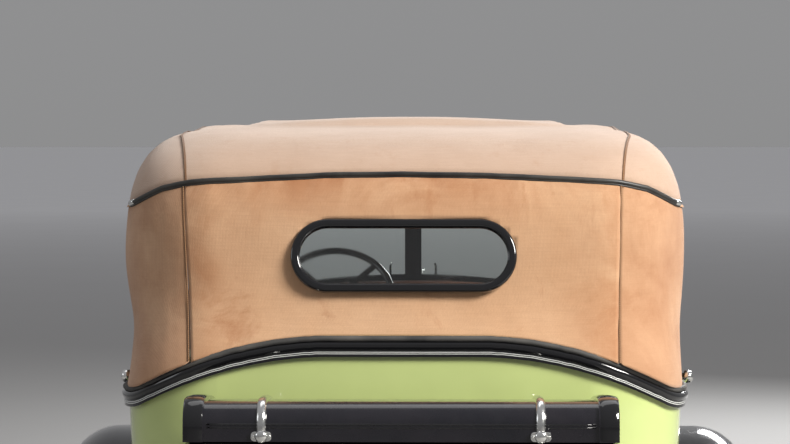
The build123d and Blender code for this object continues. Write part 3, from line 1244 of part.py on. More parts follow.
def main():
    shell = body_shell()
    skin = hood_skin()
    right_wheel, right_tyre = wheel(), tyre()
    left_wheel = mirrored(right_wheel)
    outer, inner = top_volume(0), top_volume(CLOTH)
    ring = top_volume(CLOTH + FIT) - top_volume(CLOTH + FIT + BOW_T)
    spare = Pos(SPARE_X, SPARE_Y, SPARE_Z)
    pieces = {
        "chassis_frame": chassis_frame(),
        "engine_block": engine_block(),
        "rear_axle": rear_axle(),
        "front_axle": front_axle(),
        "tie_rod": tie_rod(),
        "springs": springs(),
        "exhaust": exhaust(),
        "fuel_tank": fuel_tank(),
        "body_tub": body_tub(shell),
        "body_floor": body_floor(),
        "cowl": cowl(),
        "radiator_shell": radiator_shell(),
        "radiator_core": radiator_core(),
        "fenders": fenders(),
        "running_boards": running_boards(),
        "front_bumper": bumper(LENGTH / 2, 1),
        "rear_bumper": bumper(-LENGTH / 2, -1),
        "headlamps": headlamps(),
        "windshield_frame": windshield_frame(),
        "glass": glass(),
        "rear_window_frame": rear_window_frame(),
        "instrument_panel": instrument_panel(),
        "steering_wheel": steering_wheel(),
        "steering_column": steering_column(),
        "seats": seats(),
        "top_fabric": top_fabric(outer, inner),
        "top_frame": top_frame(ring),
        "belt_moulding": belt_moulding(),
        "trunk_body": trunk_body(),
        "trunk_lid": trunk_lid(),
        "trunk_straps": trunk_straps(),
        "trunk_rack": trunk_rack(),
        "spare_tyres": pair(spare * right_tyre),
        "spare_wheels": pair(spare * right_wheel),
    }
    twins = {
        "knuckle": knuckle(),
        "rear_door": door(shell, REAR_DOOR_Y, REAR_DOOR_Y[1] + DOOR_GAP / 2),
        "front_door": door(shell, FRONT_DOOR_Y, FRONT_DOOR_Y[0] - DOOR_GAP / 2),
        "hood_top": hood_top(skin),
        "hood_side": hood_side(skin),
    }
    for name, shape in twins.items():
        pieces[f"{name}_right"] = shape
        pieces[f"{name}_left"] = mirrored(shape)
    for end, y in (("front", FRONT_AXLE_Y), ("rear", REAR_AXLE_Y)):
        for side, x, disc in (("right", WHEEL_X, right_wheel), ("left", -WHEEL_X, left_wheel)):
            pieces[f"wheel_{end}_{side}"] = Pos(x, y, AXLE_Z) * disc
            pieces[f"tyre_{end}_{side}"] = Pos(x, y, AXLE_Z) * right_tyre
    os.makedirs("parts", exist_ok=True)
    for name, shape in pieces.items():
        export_step(shape, f"parts/{name}.step")


main()
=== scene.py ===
# %% [markdown]
# # A touring car of the late 1920s, dressed for its portrait
# The solid parts come from the CAD frame. This script gives every one of them a finish, and
# makes what CAD leaves plain: the cloth top, the leather seats, the tread and the trim.
# All lengths are metres, X to the car's right, Y forward, Z up.

# %% Load the frame
import json
import math

import bmesh
import bpy
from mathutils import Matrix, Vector, noise
from mathutils.bvhtree import BVHTree

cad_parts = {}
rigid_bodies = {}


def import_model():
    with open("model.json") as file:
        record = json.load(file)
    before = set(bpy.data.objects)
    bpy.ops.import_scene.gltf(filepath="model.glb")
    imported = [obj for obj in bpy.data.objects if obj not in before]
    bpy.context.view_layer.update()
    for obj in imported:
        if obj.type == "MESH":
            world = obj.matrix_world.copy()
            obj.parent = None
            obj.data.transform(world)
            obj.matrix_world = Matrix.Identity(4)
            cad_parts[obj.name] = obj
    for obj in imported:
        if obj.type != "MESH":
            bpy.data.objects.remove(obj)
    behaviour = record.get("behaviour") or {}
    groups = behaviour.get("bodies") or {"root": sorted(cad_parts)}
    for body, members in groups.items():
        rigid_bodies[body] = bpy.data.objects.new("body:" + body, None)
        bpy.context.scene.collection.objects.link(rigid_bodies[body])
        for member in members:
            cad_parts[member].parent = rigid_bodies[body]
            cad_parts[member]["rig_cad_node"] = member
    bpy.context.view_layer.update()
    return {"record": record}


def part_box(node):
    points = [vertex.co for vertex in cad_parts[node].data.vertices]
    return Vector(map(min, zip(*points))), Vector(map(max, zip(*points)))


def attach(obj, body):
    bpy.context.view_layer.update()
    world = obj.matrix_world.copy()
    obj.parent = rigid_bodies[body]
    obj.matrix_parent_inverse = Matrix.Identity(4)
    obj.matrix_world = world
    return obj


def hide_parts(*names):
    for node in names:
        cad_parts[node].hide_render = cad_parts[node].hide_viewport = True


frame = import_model()
node_object = {o["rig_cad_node"]: o for o in bpy.data.objects if "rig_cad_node" in o}

# %% [markdown]
# ## Tools used again and again
# Cloth and trim follow the body, so most points here are found by casting a ray at a CAD
# surface instead of being typed in. A grid of such points makes a sheet. A row of them makes
# a strip or a tube.

# %% Numbers and rays
MM = 0.001
SIDES = ((1, "right"), (-1, "left"))
DOORS = ("front_door", "rear_door")
RIGHTWARD, FORWARD, UPWARD = Vector((1, 0, 0)), Vector((0, 1, 0)), Vector((0, 0, 1))
REARWARD = -FORWARD


def spread(a, b, steps):
    """Evenly spaced values from a to b."""
    return [a + (b - a) * k / steps for k in range(steps + 1)]


def limited(value, low=0.0, high=1.0):
    """A value kept between two limits."""
    return max(low, min(high, value))


def hump(value, centre, width):
    """A smooth hump of height 1 at the centre."""
    return math.exp(-(((value - centre) / width) ** 2))


def waver(x, y, z):
    """Smooth noise between -1 and 1."""
    return noise.noise(Vector((x, y, z)))


def node_surface(*names):
    """A tree of the faces of CAD nodes, to cast rays at."""
    points, faces = [], []
    for name in names:
        mesh = node_object[name].data
        start = len(points)
        points += [v.co.copy() for v in mesh.vertices]
        faces += [[start + i for i in p.vertices] for p in mesh.polygons]
    return BVHTree.FromPolygons(points, faces)


def strike(surface, origin, direction, reach=6.0):
    """Where a ray first meets a surface, with the surface's normal, or None."""
    place, normal, _, _ = surface.ray_cast(Vector(origin), Vector(direction).normalized(), reach)
    return None if place is None else (place, normal)


def from_side(surface, side, y, z):
    """Where a level ray from the right (1) or the left (-1) meets a surface."""
    return strike(surface, (side * 2, y, z), (-side, 0, 0), 2)


# %% Meshes
def new_object(name, points, faces, smooth=True):
    """A mesh object from points and faces."""
    mesh = bpy.data.meshes.new(name)
    mesh.from_pydata([tuple(p) for p in points], [], faces)
    mesh.validate()
    for polygon in mesh.polygons:
        polygon.use_smooth = smooth
    return in_scene(bpy.data.objects.new(name, mesh))


def in_scene(item):
    """Put a new object into the scene."""
    bpy.context.scene.collection.objects.link(item)
    return item


def grid_object(name, rows, closed=False, drop=None):
    """A sheet from rows of points; drop says which cell centres are left open."""
    wide = len(rows[0])
    points = [p for row in rows for p in row]
    faces = []
    for j in range(len(rows) - 1):
        for i in range(wide if closed else wide - 1):
            n = (i + 1) % wide
            cell = [j * wide + i, j * wide + n, (j + 1) * wide + n, (j + 1) * wide + i]
            if drop is None or not drop(sum((Vector(points[k]) for k in cell), Vector()) / 4):
                faces.append(cell)
    return new_object(name, points, faces)


def reworked(item, change):
    """Change an object's mesh as a bmesh."""
    work = bmesh.new()
    work.from_mesh(item.data)
    change(work)
    work.to_mesh(item.data)
    work.free()
    return item


def face_outward(item):
    """Make all faces of a closed or nearly closed mesh point out."""
    return reworked(item, lambda work: bmesh.ops.recalc_face_normals(work, faces=work.faces))


def capped(item, sides):
    """Close the open ends of a tube or a turned piece."""
    return reworked(item, lambda work: bmesh.ops.holes_fill(work, edges=work.edges, sides=sides))


def with_modifier(item, kind, **values):
    """Add a modifier and apply it."""
    modifier = item.modifiers.new(kind.lower(), kind)
    for key, value in values.items():
        setattr(modifier, key, value)
    bpy.context.view_layer.objects.active = item
    bpy.ops.object.modifier_apply(modifier=modifier.name)
    return item


def thickened(item, thickness, looks_out):
    """Give a sheet its thickness inward; looks_out says whether its faces look out now."""
    return with_modifier(item, "SOLIDIFY", thickness=thickness, offset=-1.0 if looks_out else 1.0)


def middle_normal(item):
    """Normal of the face in the middle of a sheet's list of faces."""
    return item.data.polygons[len(item.data.polygons) // 2].normal


def cloth_area(item):
    """Area of a sheet that has no thickness yet."""
    return round(sum(polygon.area for polygon in item.data.polygons), 3)


# %% Bars, strips and turned pieces
def headings(points):
    """Direction of travel at each point of a path."""
    ends = [points[0], *points, points[-1]]
    return [(b - a).normalized() for a, b in zip(ends, ends[2:])]


def ring(centre, side, lift, radius, count):
    """Points round a circle in the plane of two directions."""
    turn = [2 * math.pi * k / count for k in range(count)]
    return [centre + (side * math.cos(a) + lift * math.sin(a)) * radius for a in turn]


def tube(name, points, radius, sides=12):
    """A round bar along a path; radius is one number, or a list with one for each point."""
    points = [Vector(p) for p in points]
    radii = radius if isinstance(radius, list) else [radius] * len(points)
    rings = []
    for p, way, r in zip(points, headings(points), radii):
        side = way.cross(UPWARD if abs(way.z) < 0.95 else RIGHTWARD).normalized()
        rings.append(ring(p, side, side.cross(way), r, sides))
    return face_outward(capped(grid_object(name, rings, closed=True), sides))


def strip(name, points, normals, width, height, rows=5):
    """A low rounded strip on a surface. Its UVs are its length and breadth in metres."""
    points = [Vector(p) for p in points]
    normals = [normals] * len(points) if isinstance(normals, Vector) else normals
    run = [0.0]
    for a, b in zip(points, points[1:]):
        run.append(run[-1] + (b - a).length)
    lines = []
    for p, out, way in zip(points, normals, headings(points)):
        out = out.normalized()
        across = way.cross(out).normalized() * width / 2
        lines.append([p + across * t + out * height * (1 - t * t) ** 0.5 for t in spread(-1, 1, rows - 1)])
    item = grid_object(name, lines)
    layer = item.data.uv_layers.new(name="strip")
    for loop, corner in enumerate(item.data.loops):
        n = corner.vertex_index
        layer.data[loop].uv = (run[n // rows], (n % rows) / (rows - 1) * width)
    return item


def lathe(name, profile, centre, way, turns=48):
    """A turned piece: profile is (along, radius) pairs from the centre in the direction way."""
    way = Vector(way).normalized()
    side = way.orthogonal().normalized()
    lift = way.cross(side)
    rings = [ring(Vector(centre) + way * along, side, lift, radius, turns) for along, radius in profile]
    return face_outward(capped(grid_object(name, rings, closed=True), turns))


def screw(centre, way, radius):
    """A round-headed screw."""
    shape = ((0, 1), (0.275, 0.92), (0.4675, 0.6), (0.55, 0.1))
    return lathe("head", [(along * radius, out * radius) for along, out in shape], centre, way, 20)


def joined(name, items):
    """Several mesh objects made into one."""
    work = bmesh.new()
    for item in items:
        work.from_mesh(item.data)
    mesh = bpy.data.meshes.new(name)
    work.to_mesh(mesh)
    work.free()
    for item in items:
        bpy.data.objects.remove(item)
    return in_scene(bpy.data.objects.new(name, mesh))


# %% [markdown]
# ## Materials
# Each finish is a small node tree. The noise is in object coordinates, which stay with a
# piece when it moves. Colour varies a little everywhere, because no real paint or cloth is one
# flat colour, and a bump gives each surface its fine relief.

# %% Helpers for materials
def srgb(r, g, b):
    """A colour given as 0 to 255 screen values."""
    lit = [v / 255 / 12.92 if v <= 10 else ((v / 255 + 0.055) / 1.055) ** 2.4 for v in (r, g, b)]
    return (*lit, 1)


def shade(colour, factor):
    """A colour made darker or lighter."""
    return (*(min(1, c * factor) for c in colour[:3]), 1)


class Look:
    """A material being built: short names for the nodes that every finish needs."""

    def __init__(self, name, **values):
        self.material = bpy.data.materials.new(name)
        self.material.use_nodes = True
        self.tree = self.material.node_tree
        self.shader = self.tree.nodes["Principled BSDF"]
        self.place = self.add("ShaderNodeTexCoord").outputs["Object"]
        self.feed(self.shader, **values)

    def add(self, kind, **values):
        node = self.tree.nodes.new(kind)
        for key, value in values.items():
            setattr(node, key, value)
        return node

    def feed(self, node, **values):
        """Set or link inputs of a node, by name, or by number as i0, i1 and so on."""
        for key, value in values.items():
            numbered = key[0] == "i" and key[1:].isdigit()
            socket = node.inputs[int(key[1:]) if numbered else key.replace("_", " ")]
            if isinstance(value, bpy.types.NodeSocket):
                self.tree.links.new(value, socket)
            else:
                socket.default_value = value
        return node

    def noise(self, scale, detail=3.0, rough=0.55, place=None, distortion=0.0):
        node = self.add("ShaderNodeTexNoise")
        place = place or self.place
        self.feed(node, Vector=place, Scale=scale, Detail=detail, Roughness=rough, Distortion=distortion)
        return node.outputs["Fac"]

    def math(self, operation, a, b=0.0, clamp=False):
        node = self.add("ShaderNodeMath", operation=operation, use_clamp=clamp)
        return self.feed(node, i0=a, i1=b).outputs[0]

    def times(self, a, b, clamp=False):
        return self.math("MULTIPLY", a, b, clamp)

    def plus(self, a, b, clamp=False):
        return self.math("ADD", a, b, clamp)

    def distance(self, a, b):
        """Length of a flat vector."""
        return self.math("SQRT", self.plus(self.times(a, a), self.times(b, b)))

    def ramp(self, value, low, high):
        """A colour ramp between two stops, each a place and a colour."""
        node = self.feed(self.add("ShaderNodeValToRGB"), i0=value)
        for element, (place, colour) in zip(node.color_ramp.elements, (low, high)):
            element.position = place
            element.color = colour
        return node.outputs["Color"]

    def curve(self, value, low, high, to_low=0.0, to_high=1.0):
        node = self.add("ShaderNodeMapRange")
        return self.feed(node, i0=value, i1=low, i2=high, i3=to_low, i4=to_high).outputs[0]

    def mix(self, amount, a, b):
        node = self.add("ShaderNodeMix", data_type="RGBA")
        return self.feed(node, i0=amount, i6=a, i7=b).outputs[2]

    def scaled(self, x, y, z):
        """The object coordinates, stretched."""
        node = self.add("ShaderNodeMapping")
        return self.feed(node, Vector=self.place, Scale=(x, y, z)).outputs[0]

    def split(self, place=None):
        return self.feed(self.add("ShaderNodeSeparateXYZ"), i0=place or self.place).outputs

    def bump(self, height, strength, distance, after=None):
        node = self.feed(self.add("ShaderNodeBump"), Height=height, Strength=strength, Distance=distance)
        if after:
            self.feed(node, Normal=after)
        return node.outputs[0]

    def done(self, **values):
        """Feed the shader its last values and give the material."""
        self.feed(self.shader, **values)
        return self.material


# %% Paint, plating and rubber
def enamel(name, colour, dust=0.04, rough=0.16):
    """Brushed coach enamel: deep gloss, faint ripple, a little dust low down."""
    look = Look(name, Coat_Weight=1.0, Coat_Roughness=0.03, Specular_IOR_Level=0.1)
    base = look.ramp(look.noise(2.2, 4), (0.35, shade(colour, 0.86)), (0.65, colour))
    film = look.times(look.curve(look.split()[2], 0.9, 0.1), look.noise(9, 5))
    base = look.mix(look.times(film, dust * 6, True), base, srgb(150, 138, 118))
    gloss = look.curve(look.noise(60, 4), 0.3, 0.8, rough, rough + 0.12)
    return look.done(Base_Color=base, Roughness=gloss, Normal=look.bump(look.noise(38, 2), 0.05, 0.002))


def plating(name, colour=(0.78, 0.78, 0.76, 1), rough=0.09):
    """Old nickel or chrome plating with faint haze and fine wipe marks."""
    look = Look(name, Metallic=1.0)
    haze, scratch = look.noise(24, 5), look.noise(1.0, 3, place=look.scaled(30, 400, 400))
    tone = look.ramp(haze, (0.3, shade(colour, 0.82)), (0.7, colour))
    dull = look.curve(look.plus(haze, scratch), 0.6, 1.6, rough, rough + 0.22)
    return look.done(Base_Color=tone, Roughness=dull, Normal=look.bump(scratch, 0.05, 0.0004))


def dusty(name, tone, warm, patches, full, rough, grain, shine):
    """A dark matt finish with dusty spots: warm is the dust's tint, full the noise where it covers."""
    look = Look(name, Specular_IOR_Level=shine)
    dust = look.noise(patches, 6)
    colour = look.ramp(dust, (0.35, (tone, tone, tone, 1)), (full, (*(tone * c for c in warm), 1)))
    scale, strength, depth = grain
    return look.done(Base_Color=colour, Roughness=look.curve(dust, 0.3, 0.8, *rough),
                     Normal=look.bump(look.noise(scale, 3), strength, depth))


def satin_black(name, tone=0.018):
    """Chassis black with dust in the hollows and a worn sheen."""
    return dusty(name, tone, (3.4, 3.1, 2.6), 14, 0.75, (0.32, 0.7), (220, 0.15, 0.0006), 0.5)


def rubber(name, tone=0.022):
    """Black rubber, dusty grey on its high spots."""
    return dusty(name, tone, (3.2, 3, 2.7), 12, 0.8, (0.55, 0.85), (300, 0.2, 0.0005), 0.35)


def lacquer(name):
    """Blue-black trunk covering: gloss lacquer over fine-grained cloth."""
    look = Look(name, Coat_Weight=1.0, Coat_Roughness=0.03, Specular_IOR_Level=0.2)
    cell = look.feed(look.add("ShaderNodeTexVoronoi"), Vector=look.place, Scale=420.0)
    tone = look.ramp(look.noise(5, 4), (0.35, srgb(13, 13, 20)), (0.7, srgb(24, 21, 27)))
    gloss = look.curve(look.noise(30, 4), 0.3, 0.8, 0.2, 0.42)
    grain = look.bump(cell.outputs["Distance"], 0.05, 0.0004)
    return look.done(Base_Color=tone, Roughness=gloss, Normal=grain)


# %% Cloth and leather
def canvas(name, light, dark, stain, stains, edges):
    """Woven top cloth: a fine linen weave, slubs, faded patches and rusty water stains."""
    look = Look(name, Sheen_Weight=0.25, Sheen_Roughness=0.6, Specular_IOR_Level=0.2)
    pitch = 1800.0
    x, y, z = look.split()
    warp = look.math("SINE", look.times(look.plus(x, look.times(y, 0.7)), pitch))
    weft = look.math("SINE", look.times(look.plus(z, look.times(y, 0.4)), pitch))
    threads = look.plus(look.times(warp, weft), look.times(look.plus(warp, weft), 0.35))
    slub = look.plus(look.noise(1, 3, place=look.scaled(14, 14, 700)),
                     look.noise(1, 3, place=look.scaled(500, 300, 10)))
    tone = look.ramp(look.noise(3.1, 5, 0.6), (0.28, dark), (0.72, light))
    tone = look.mix(look.curve(slub, 0.7, 1.35, 0.0, 0.35), tone, shade(dark, 0.7))
    tone = look.mix(look.curve(threads, -1.6, 1.6, 0.16, 0.0), tone, shade(dark, 0.55))
    spots = look.curve(look.noise(5.5, 6, 0.7, distortion=0.6), 0.6, 0.74, 0.0, 0.5 * stains)
    tone = look.mix(spots, tone, stain)
    runs = look.noise(1, 5, 0.65, place=look.scaled(26, 26, 2.2))
    streaks = look.curve(runs, 0.56, 0.72, 0.0, 0.42 * stains)
    tone = look.mix(look.times(streaks, look.curve(z, 1.45, 1.68)), tone, stain)
    near = look.math("MAXIMUM", look.curve(look.math("ABSOLUTE", x), 0.36, 0.56), look.curve(z, 1.53, 1.67))
    near = look.math("MAXIMUM", near, look.curve(z, 1.27, 1.12))
    soil = look.times(near, look.curve(look.noise(4.5, 6, 0.65, distortion=0.5), 0.34, 0.66))
    tone = look.mix(look.times(soil, edges, True), tone, stain)
    rise = look.bump(look.noise(7, 4), 0.25, 0.012, look.bump(threads, 0.35, 0.0006))
    return look.done(Base_Color=tone, Roughness=0.86, Normal=rise)


def leather(name, colour):
    """Upholstery hide: fine pebble grain, creases, worn high spots."""
    look = Look(name, Specular_IOR_Level=0.45)
    cell = look.add("ShaderNodeTexVoronoi", feature="DISTANCE_TO_EDGE")
    grain = look.curve(look.feed(cell, Vector=look.place, Scale=260.0).outputs["Distance"], 0.0, 0.25)
    crease = look.noise(18, 6, 0.7, distortion=1.4)
    tone = look.ramp(look.noise(6, 5), (0.35, colour), (0.75, shade(colour, 1.9)))
    rise = look.bump(crease, 0.3, 0.003, look.bump(grain, 0.3, 0.0005))
    return look.done(Base_Color=tone, Roughness=look.curve(crease, 0.3, 0.7, 0.34, 0.58), Normal=rise)


# %% Wood and glass
def timber(name, light, dark, across):
    """Varnished wood with its grain along one way."""
    look = Look(name, Coat_Weight=0.5, Coat_Roughness=0.12)
    grain = look.noise(1, 5, 0.6, place=look.scaled(*across), distortion=0.8)
    return look.done(Base_Color=look.ramp(grain, (0.3, dark), (0.7, light)),
                     Roughness=look.curve(grain, 0.3, 0.7, 0.3, 0.5), Normal=look.bump(grain, 0.12, 0.001))


RIM_INNER, HUB_OUTER, CAP_OUTER = 0.2345, 0.0865, 0.0445


def wheel_finish(name, hub_y, hub_z):
    """Varnished spokes between a black rim and a black hub with a bright cap, told apart by radius."""
    look = Look(name, Coat_Weight=0.6, Coat_Roughness=0.1)
    x, y, z = look.split()
    along, up = look.math("SUBTRACT", y, hub_y), look.math("SUBTRACT", z, hub_z)
    radius = look.distance(along, up)
    turn = look.times(look.math("ARCTAN2", up, along), 24)
    place = look.feed(look.add("ShaderNodeCombineXYZ"), X=turn, Y=look.times(radius, 7), Z=x)
    grain = look.noise(1, 5, 0.6, place=place.outputs[0], distortion=0.4)
    tone = look.ramp(grain, (0.3, srgb(132, 88, 42)), (0.7, srgb(184, 136, 74)))
    rim, hub = look.math("GREATER_THAN", radius, RIM_INNER), look.math("LESS_THAN", radius, HUB_OUTER)
    tone = look.mix(look.plus(rim, hub, True), tone, (0.012, 0.012, 0.013, 1))
    cap = look.math("LESS_THAN", radius, CAP_OUTER)
    return look.done(Base_Color=look.mix(cap, tone, (0.8, 0.8, 0.78, 1)), Metallic=cap,
                     Roughness=look.curve(cap, 0, 1, 0.3, 0.1), Normal=look.bump(grain, 0.1, 0.0006))


def lamp_glass(name, tint, ribs):
    """Lens glass with upright ribs."""
    look = Look(name, Transmission_Weight=0.85, IOR=1.5, Base_Color=tint, Roughness=0.06)
    return look.done(Normal=look.bump(look.math("SINE", look.times(look.split()[0], 560)), ribs, 0.003))


def clear_glass(name):
    """Old flat glass: faint green, slightly wavy, a breath of dust."""
    look = Look(name, Transmission_Weight=1.0, IOR=1.48, Base_Color=(0.93, 0.97, 0.95, 1))
    dust = look.curve(look.noise(8, 5), 0.4, 0.9, 0.0, 0.08)
    return look.done(Roughness=dust, Normal=look.bump(look.noise(6, 1), 0.03, 0.002))


# %% [markdown]
# ## The palette
# The colours are read from the photograph: a pale yellow-green body, deep black
# mouldings and fenders, a tan rear curtain and a lighter, pinker deck.

# %% Make the finishes
BODY_GREEN = enamel("body_green", srgb(192, 206, 134))
GLOSS_BLACK = enamel("gloss_black", (0.006, 0.006, 0.007, 1), dust=0.03, rough=0.1)
SILVER_LINE = enamel("silver_line_paint", srgb(214, 216, 212), dust=0.0)
DIAL = enamel("dial_face", srgb(226, 218, 196), dust=0.0)
CHROME = plating("bright_plating")
BRASS = plating("aged_brass", (0.62, 0.47, 0.22, 1), 0.2)
FRAME_BLACK = satin_black("frame_black_finish")
CAST = satin_black("engine_grey", 0.06)
CORE = satin_black("core_finish", 0.02)
THREAD = satin_black("cord_black", 0.012)
TRUNK_BLACK = lacquer("trunk_lacquer")
CURTAIN_CLOTH = canvas("curtain_cloth", srgb(208, 169, 134), srgb(190, 147, 110), srgb(146, 88, 44), 1, 0.8)
QUARTER_CLOTH = canvas("quarter_cloth", srgb(203, 163, 128), srgb(184, 140, 105), srgb(140, 88, 50), 0.7, 0.5)
DECK_CLOTH = canvas("deck_cloth", srgb(190, 164, 145), srgb(174, 145, 123), srgb(150, 106, 70), 0.45, 0)
HIDE = leather("seat_hide", srgb(72, 42, 26))
WHEEL_LOOK = {"front": wheel_finish("front_wheel_finish", 1.98, 0.425),
              "rear": wheel_finish("rear_wheel_finish", -1.27, 0.425)}
SPARE_LOOK = wheel_finish("spare_wheel_finish", 1.15, 0.872)
HEADLAMP_GLASS = lamp_glass("headlamp_glass", (0.96, 0.97, 0.95, 1), 0.5)
TAIL_GLASS = lamp_glass("tail_lamp_glass", (0.55, 0.01, 0.01, 1), 0.25)
PANE = clear_glass("window_pane")
BOW_WOOD = timber("bow_ash", srgb(172, 130, 84), srgb(120, 82, 46), (3, 90, 90))
FLOOR_WOOD = timber("floor_boards", srgb(110, 80, 52), srgb(64, 44, 28), (60, 3, 60))
PANEL_WOOD = timber("panel_walnut", srgb(74, 48, 30), srgb(34, 20, 12), (4, 60, 60))
TYRE_BLACK = rubber("tyre_black")
MAT_BLACK = rubber("mat_black", 0.03)
WELT_GREY = rubber("welt_grey", 0.035)
FINISH = {
    "body_paint": BODY_GREEN, "black_gloss": GLOSS_BLACK, "frame_black": FRAME_BLACK,
    "trunk_black": TRUNK_BLACK, "bright_plating": CHROME, "cast_iron": CAST, "spring_steel": FRAME_BLACK,
    "exhaust_steel": CAST, "floor_wood": FLOOR_WOOD, "panel_wood": PANEL_WOOD, "bow_wood": BOW_WOOD,
    "wheel_wood": SPARE_LOOK, "tyre_rubber": TYRE_BLACK, "board_rubber": MAT_BLACK, "core_black": CORE,
    "window_glass": PANE, "seat_leather": HIDE, "top_cloth": CURTAIN_CLOTH,
}
slot_of = {part["node"]: part["material_slot"] for part in frame["record"]["subparts"]}
for name, item in node_object.items():
    item.data.materials.clear()
    end = name.split("_")[1] if name.startswith("wheel_") else None
    item.data.materials.append(WHEEL_LOOK[end] if end else FINISH[slot_of[name]])
print("finishes", len(FINISH), "on", len(slot_of), "nodes")


# %% Dress a new piece
def dressed(item, slot_name, look=None, body="body", *nodes):
    """Give a new piece its material (the slot's finish unless a look is given) and body, and hide the CAD
    nodes it stands for.
    """
    item.data.materials.clear()
    item.data.materials.append(look or FINISH[slot_name])
    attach(item, body)
    if nodes:
        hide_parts(*nodes)
    return item


def bright(name, pieces, body="body", *nodes):
    """Plated pieces made into one."""
    return dressed(joined(name, pieces), "bright_plating", CHROME, body, *nodes)


# %% [markdown]
# ## Stage, light and camera
# The camera stands about six metres behind the car at eye height, with a long lens, a little
# right of the centre line and turned slightly left. These values were worked out from the
# photograph: the vanishing point gives the turn, the horizon the tilt and the body width the
# distance.

# %% Camera
PHOTO_W, PHOTO_H = 790, 444
FOCAL_PX = 2560.0
VANISH_X, HORIZON_Y = 436.5, 145.0
camera_data = bpy.data.cameras.new("camera")
camera_data.sensor_width = 36.0
camera_data.lens = camera_data.sensor_width * FOCAL_PX / PHOTO_W
camera_data.clip_end = 4000
camera = in_scene(bpy.data.objects.new("camera", camera_data))
camera.location = (0.082, -8.321, 1.747)
yaw = math.atan((VANISH_X - PHOTO_W / 2) / FOCAL_PX)
pitch = math.atan((PHOTO_H / 2 - HORIZON_Y) / FOCAL_PX)
camera.rotation_euler = (math.pi / 2 - pitch, 0, yaw)
bpy.context.scene.camera = camera
print("lens", round(camera_data.lens, 1), "mm, turned", round(math.degrees(yaw), 2), "degrees")

# %% [markdown]
# The floor runs to the horizon. Its colour is darker near the car, where the lamps light it most,
# and lighter with distance: painted shade close by and painted light further off, so that it looks
# evenly bright and meets the surround without a line.

# %% Floor
FLOOR_SIZE = 2000.0
NEAR_FLOOR, FAR_FLOOR = 10.0, 60.0
corners = [(-1, -1), (1, -1), (1, 1), (-1, 1)]
floor = new_object("floor", [(x * FLOOR_SIZE, y * FLOOR_SIZE, 0) for x, y in corners], [[0, 1, 2, 3]])
look = Look("floor_painted_falloff")
# Painted shade near the car, where the lamps are strongest, and painted light in the distance.
painted_falloff = look.curve(look.distance(*look.split()[:2]), NEAR_FLOOR, FAR_FLOOR)
tone = look.ramp(painted_falloff, (0.0, (0.32, 0.316, 0.31, 1)), (1.0, (0.81, 0.81, 0.81, 1)))
tone = look.mix(look.curve(look.noise(0.7, 3), 0.3, 0.7, 0.0, 0.05), tone, (0.3, 0.3, 0.3, 1))
floor.data.materials.append(look.done(Base_Color=tone, Roughness=0.85))
print("floor", 2 * FLOOR_SIZE, "m square")

# %% [markdown]
# The sun of the photograph comes from the right and above. A large soft key on that side, a
# weak fill on the left and an even pale surround give the same modelling without its hard
# shadows. Long softboxes show as clean streaks in the black paint.

# %% Lights
LIGHTS = (  # name, place, aim, size, power, tint
    ("key", (6.6, -6.2, 6.0), (0, -1.2, 1.0), (3.6, 2.8), 1550, (1.0, 0.97, 0.92)),
    ("fill", (-6.5, -3.0, 3.2), (0, -0.8, 1.0), (3.0, 2.0), 36, (0.93, 0.96, 1.0)),
    ("overhead", (0.8, 0.5, 7.0), (0, 0, 1.0), (3.0, 7.0), 90, (1, 1, 1)),
    ("front", (3.5, 8.0, 4.5), (0, 1.5, 0.8), (3.0, 2.0), 520, (1, 1, 1)),
)
for name, place, aim, size, power, tint in LIGHTS:
    data = bpy.data.lights.new(name, "AREA")
    data.shape = "RECTANGLE"
    data.size, data.size_y = size
    data.energy = power
    data.color = tint
    item = in_scene(bpy.data.objects.new(name, data))
    item.location = place
    item.rotation_euler = (Vector(aim) - Vector(place)).to_track_quat("-Z", "Y").to_euler()
HORIZON_TONE, ZENITH_TONE = 0.27, 0.40
world = bpy.data.worlds.new("surround")
world.use_nodes = True
sky = world.node_tree
kinds = ("TexCoord", "SeparateXYZ", "ValToRGB")
direction, height, fade = (sky.nodes.new(f"ShaderNode{kind}") for kind in kinds)
for stop, tone, blue in zip(fade.color_ramp.elements, (HORIZON_TONE, ZENITH_TONE), (1.01, 1.05)):
    stop.color = (tone, tone, tone * blue, 1)
sky.links.new(direction.outputs["Generated"], height.inputs[0])
sky.links.new(height.outputs[2], fade.inputs[0])
sky.links.new(fade.outputs[0], sky.nodes["Background"].inputs["Color"])
bpy.context.scene.world = world
bpy.context.scene.view_settings.view_transform = "Standard"
print("lights", len(LIGHTS), "horizon", HORIZON_TONE, "zenith", ZENITH_TONE)

# %% [markdown]
# ## The cloth top
# The top is sewn from panels. Between the two upright seams hangs the rear curtain with its
# window. A quarter panel wraps each corner. The deck lies over the bows, and its rear edge is
# finished with a black corded piping. Each panel here is its own sheet, laid on the CAD cloth by
# rays, then given the sag and puckers of real canvas, and a thickness.

# %% Places of the seams and the window
top_surface = node_surface("top_fabric")
CLOTH = 4 * MM
SEAM_X = 0.545
SEAM_LEAN = {1: (0.534, 0.546), -1: (0.528, 0.558)}  # side: foot and head of the upright seam
PIPING = ((0.0, 1.674), (0.2, 1.671), (0.4, 1.662), (0.545, 1.653),  # distance across, height
          (0.613, 1.638), (0.653, 1.619), (0.697, 1.597), (0.72, 1.590))
PIPING_END_Z, PIPING_END_Y = PIPING[-1][1], -1.735
FLAP_Z = 1.705
WINDOW_INSET = 13 * MM
QUARTER_FOOT_Y, QUARTER_HEAD_Y = -1.335, -1.185
window_low, window_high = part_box("rear_window_frame")
WINDOW_MIDDLE, WINDOW_HALF = (window_low + window_high) / 2, (window_high - window_low) / 2


def lowest(cast, low=1.04, high=1.36):
    """Height of a panel's lower edge, found by halving between a miss and a hit."""
    for _ in range(14):
        middle = (low + high) / 2
        if cast(middle):
            high = middle
        else:
            low = middle
    return high + 0.001


def from_behind(x, z):
    """The rear curtain's outer surface at a place seen from behind."""
    return strike(top_surface, (x, -3, z), (0, 1, 0), 1.6)


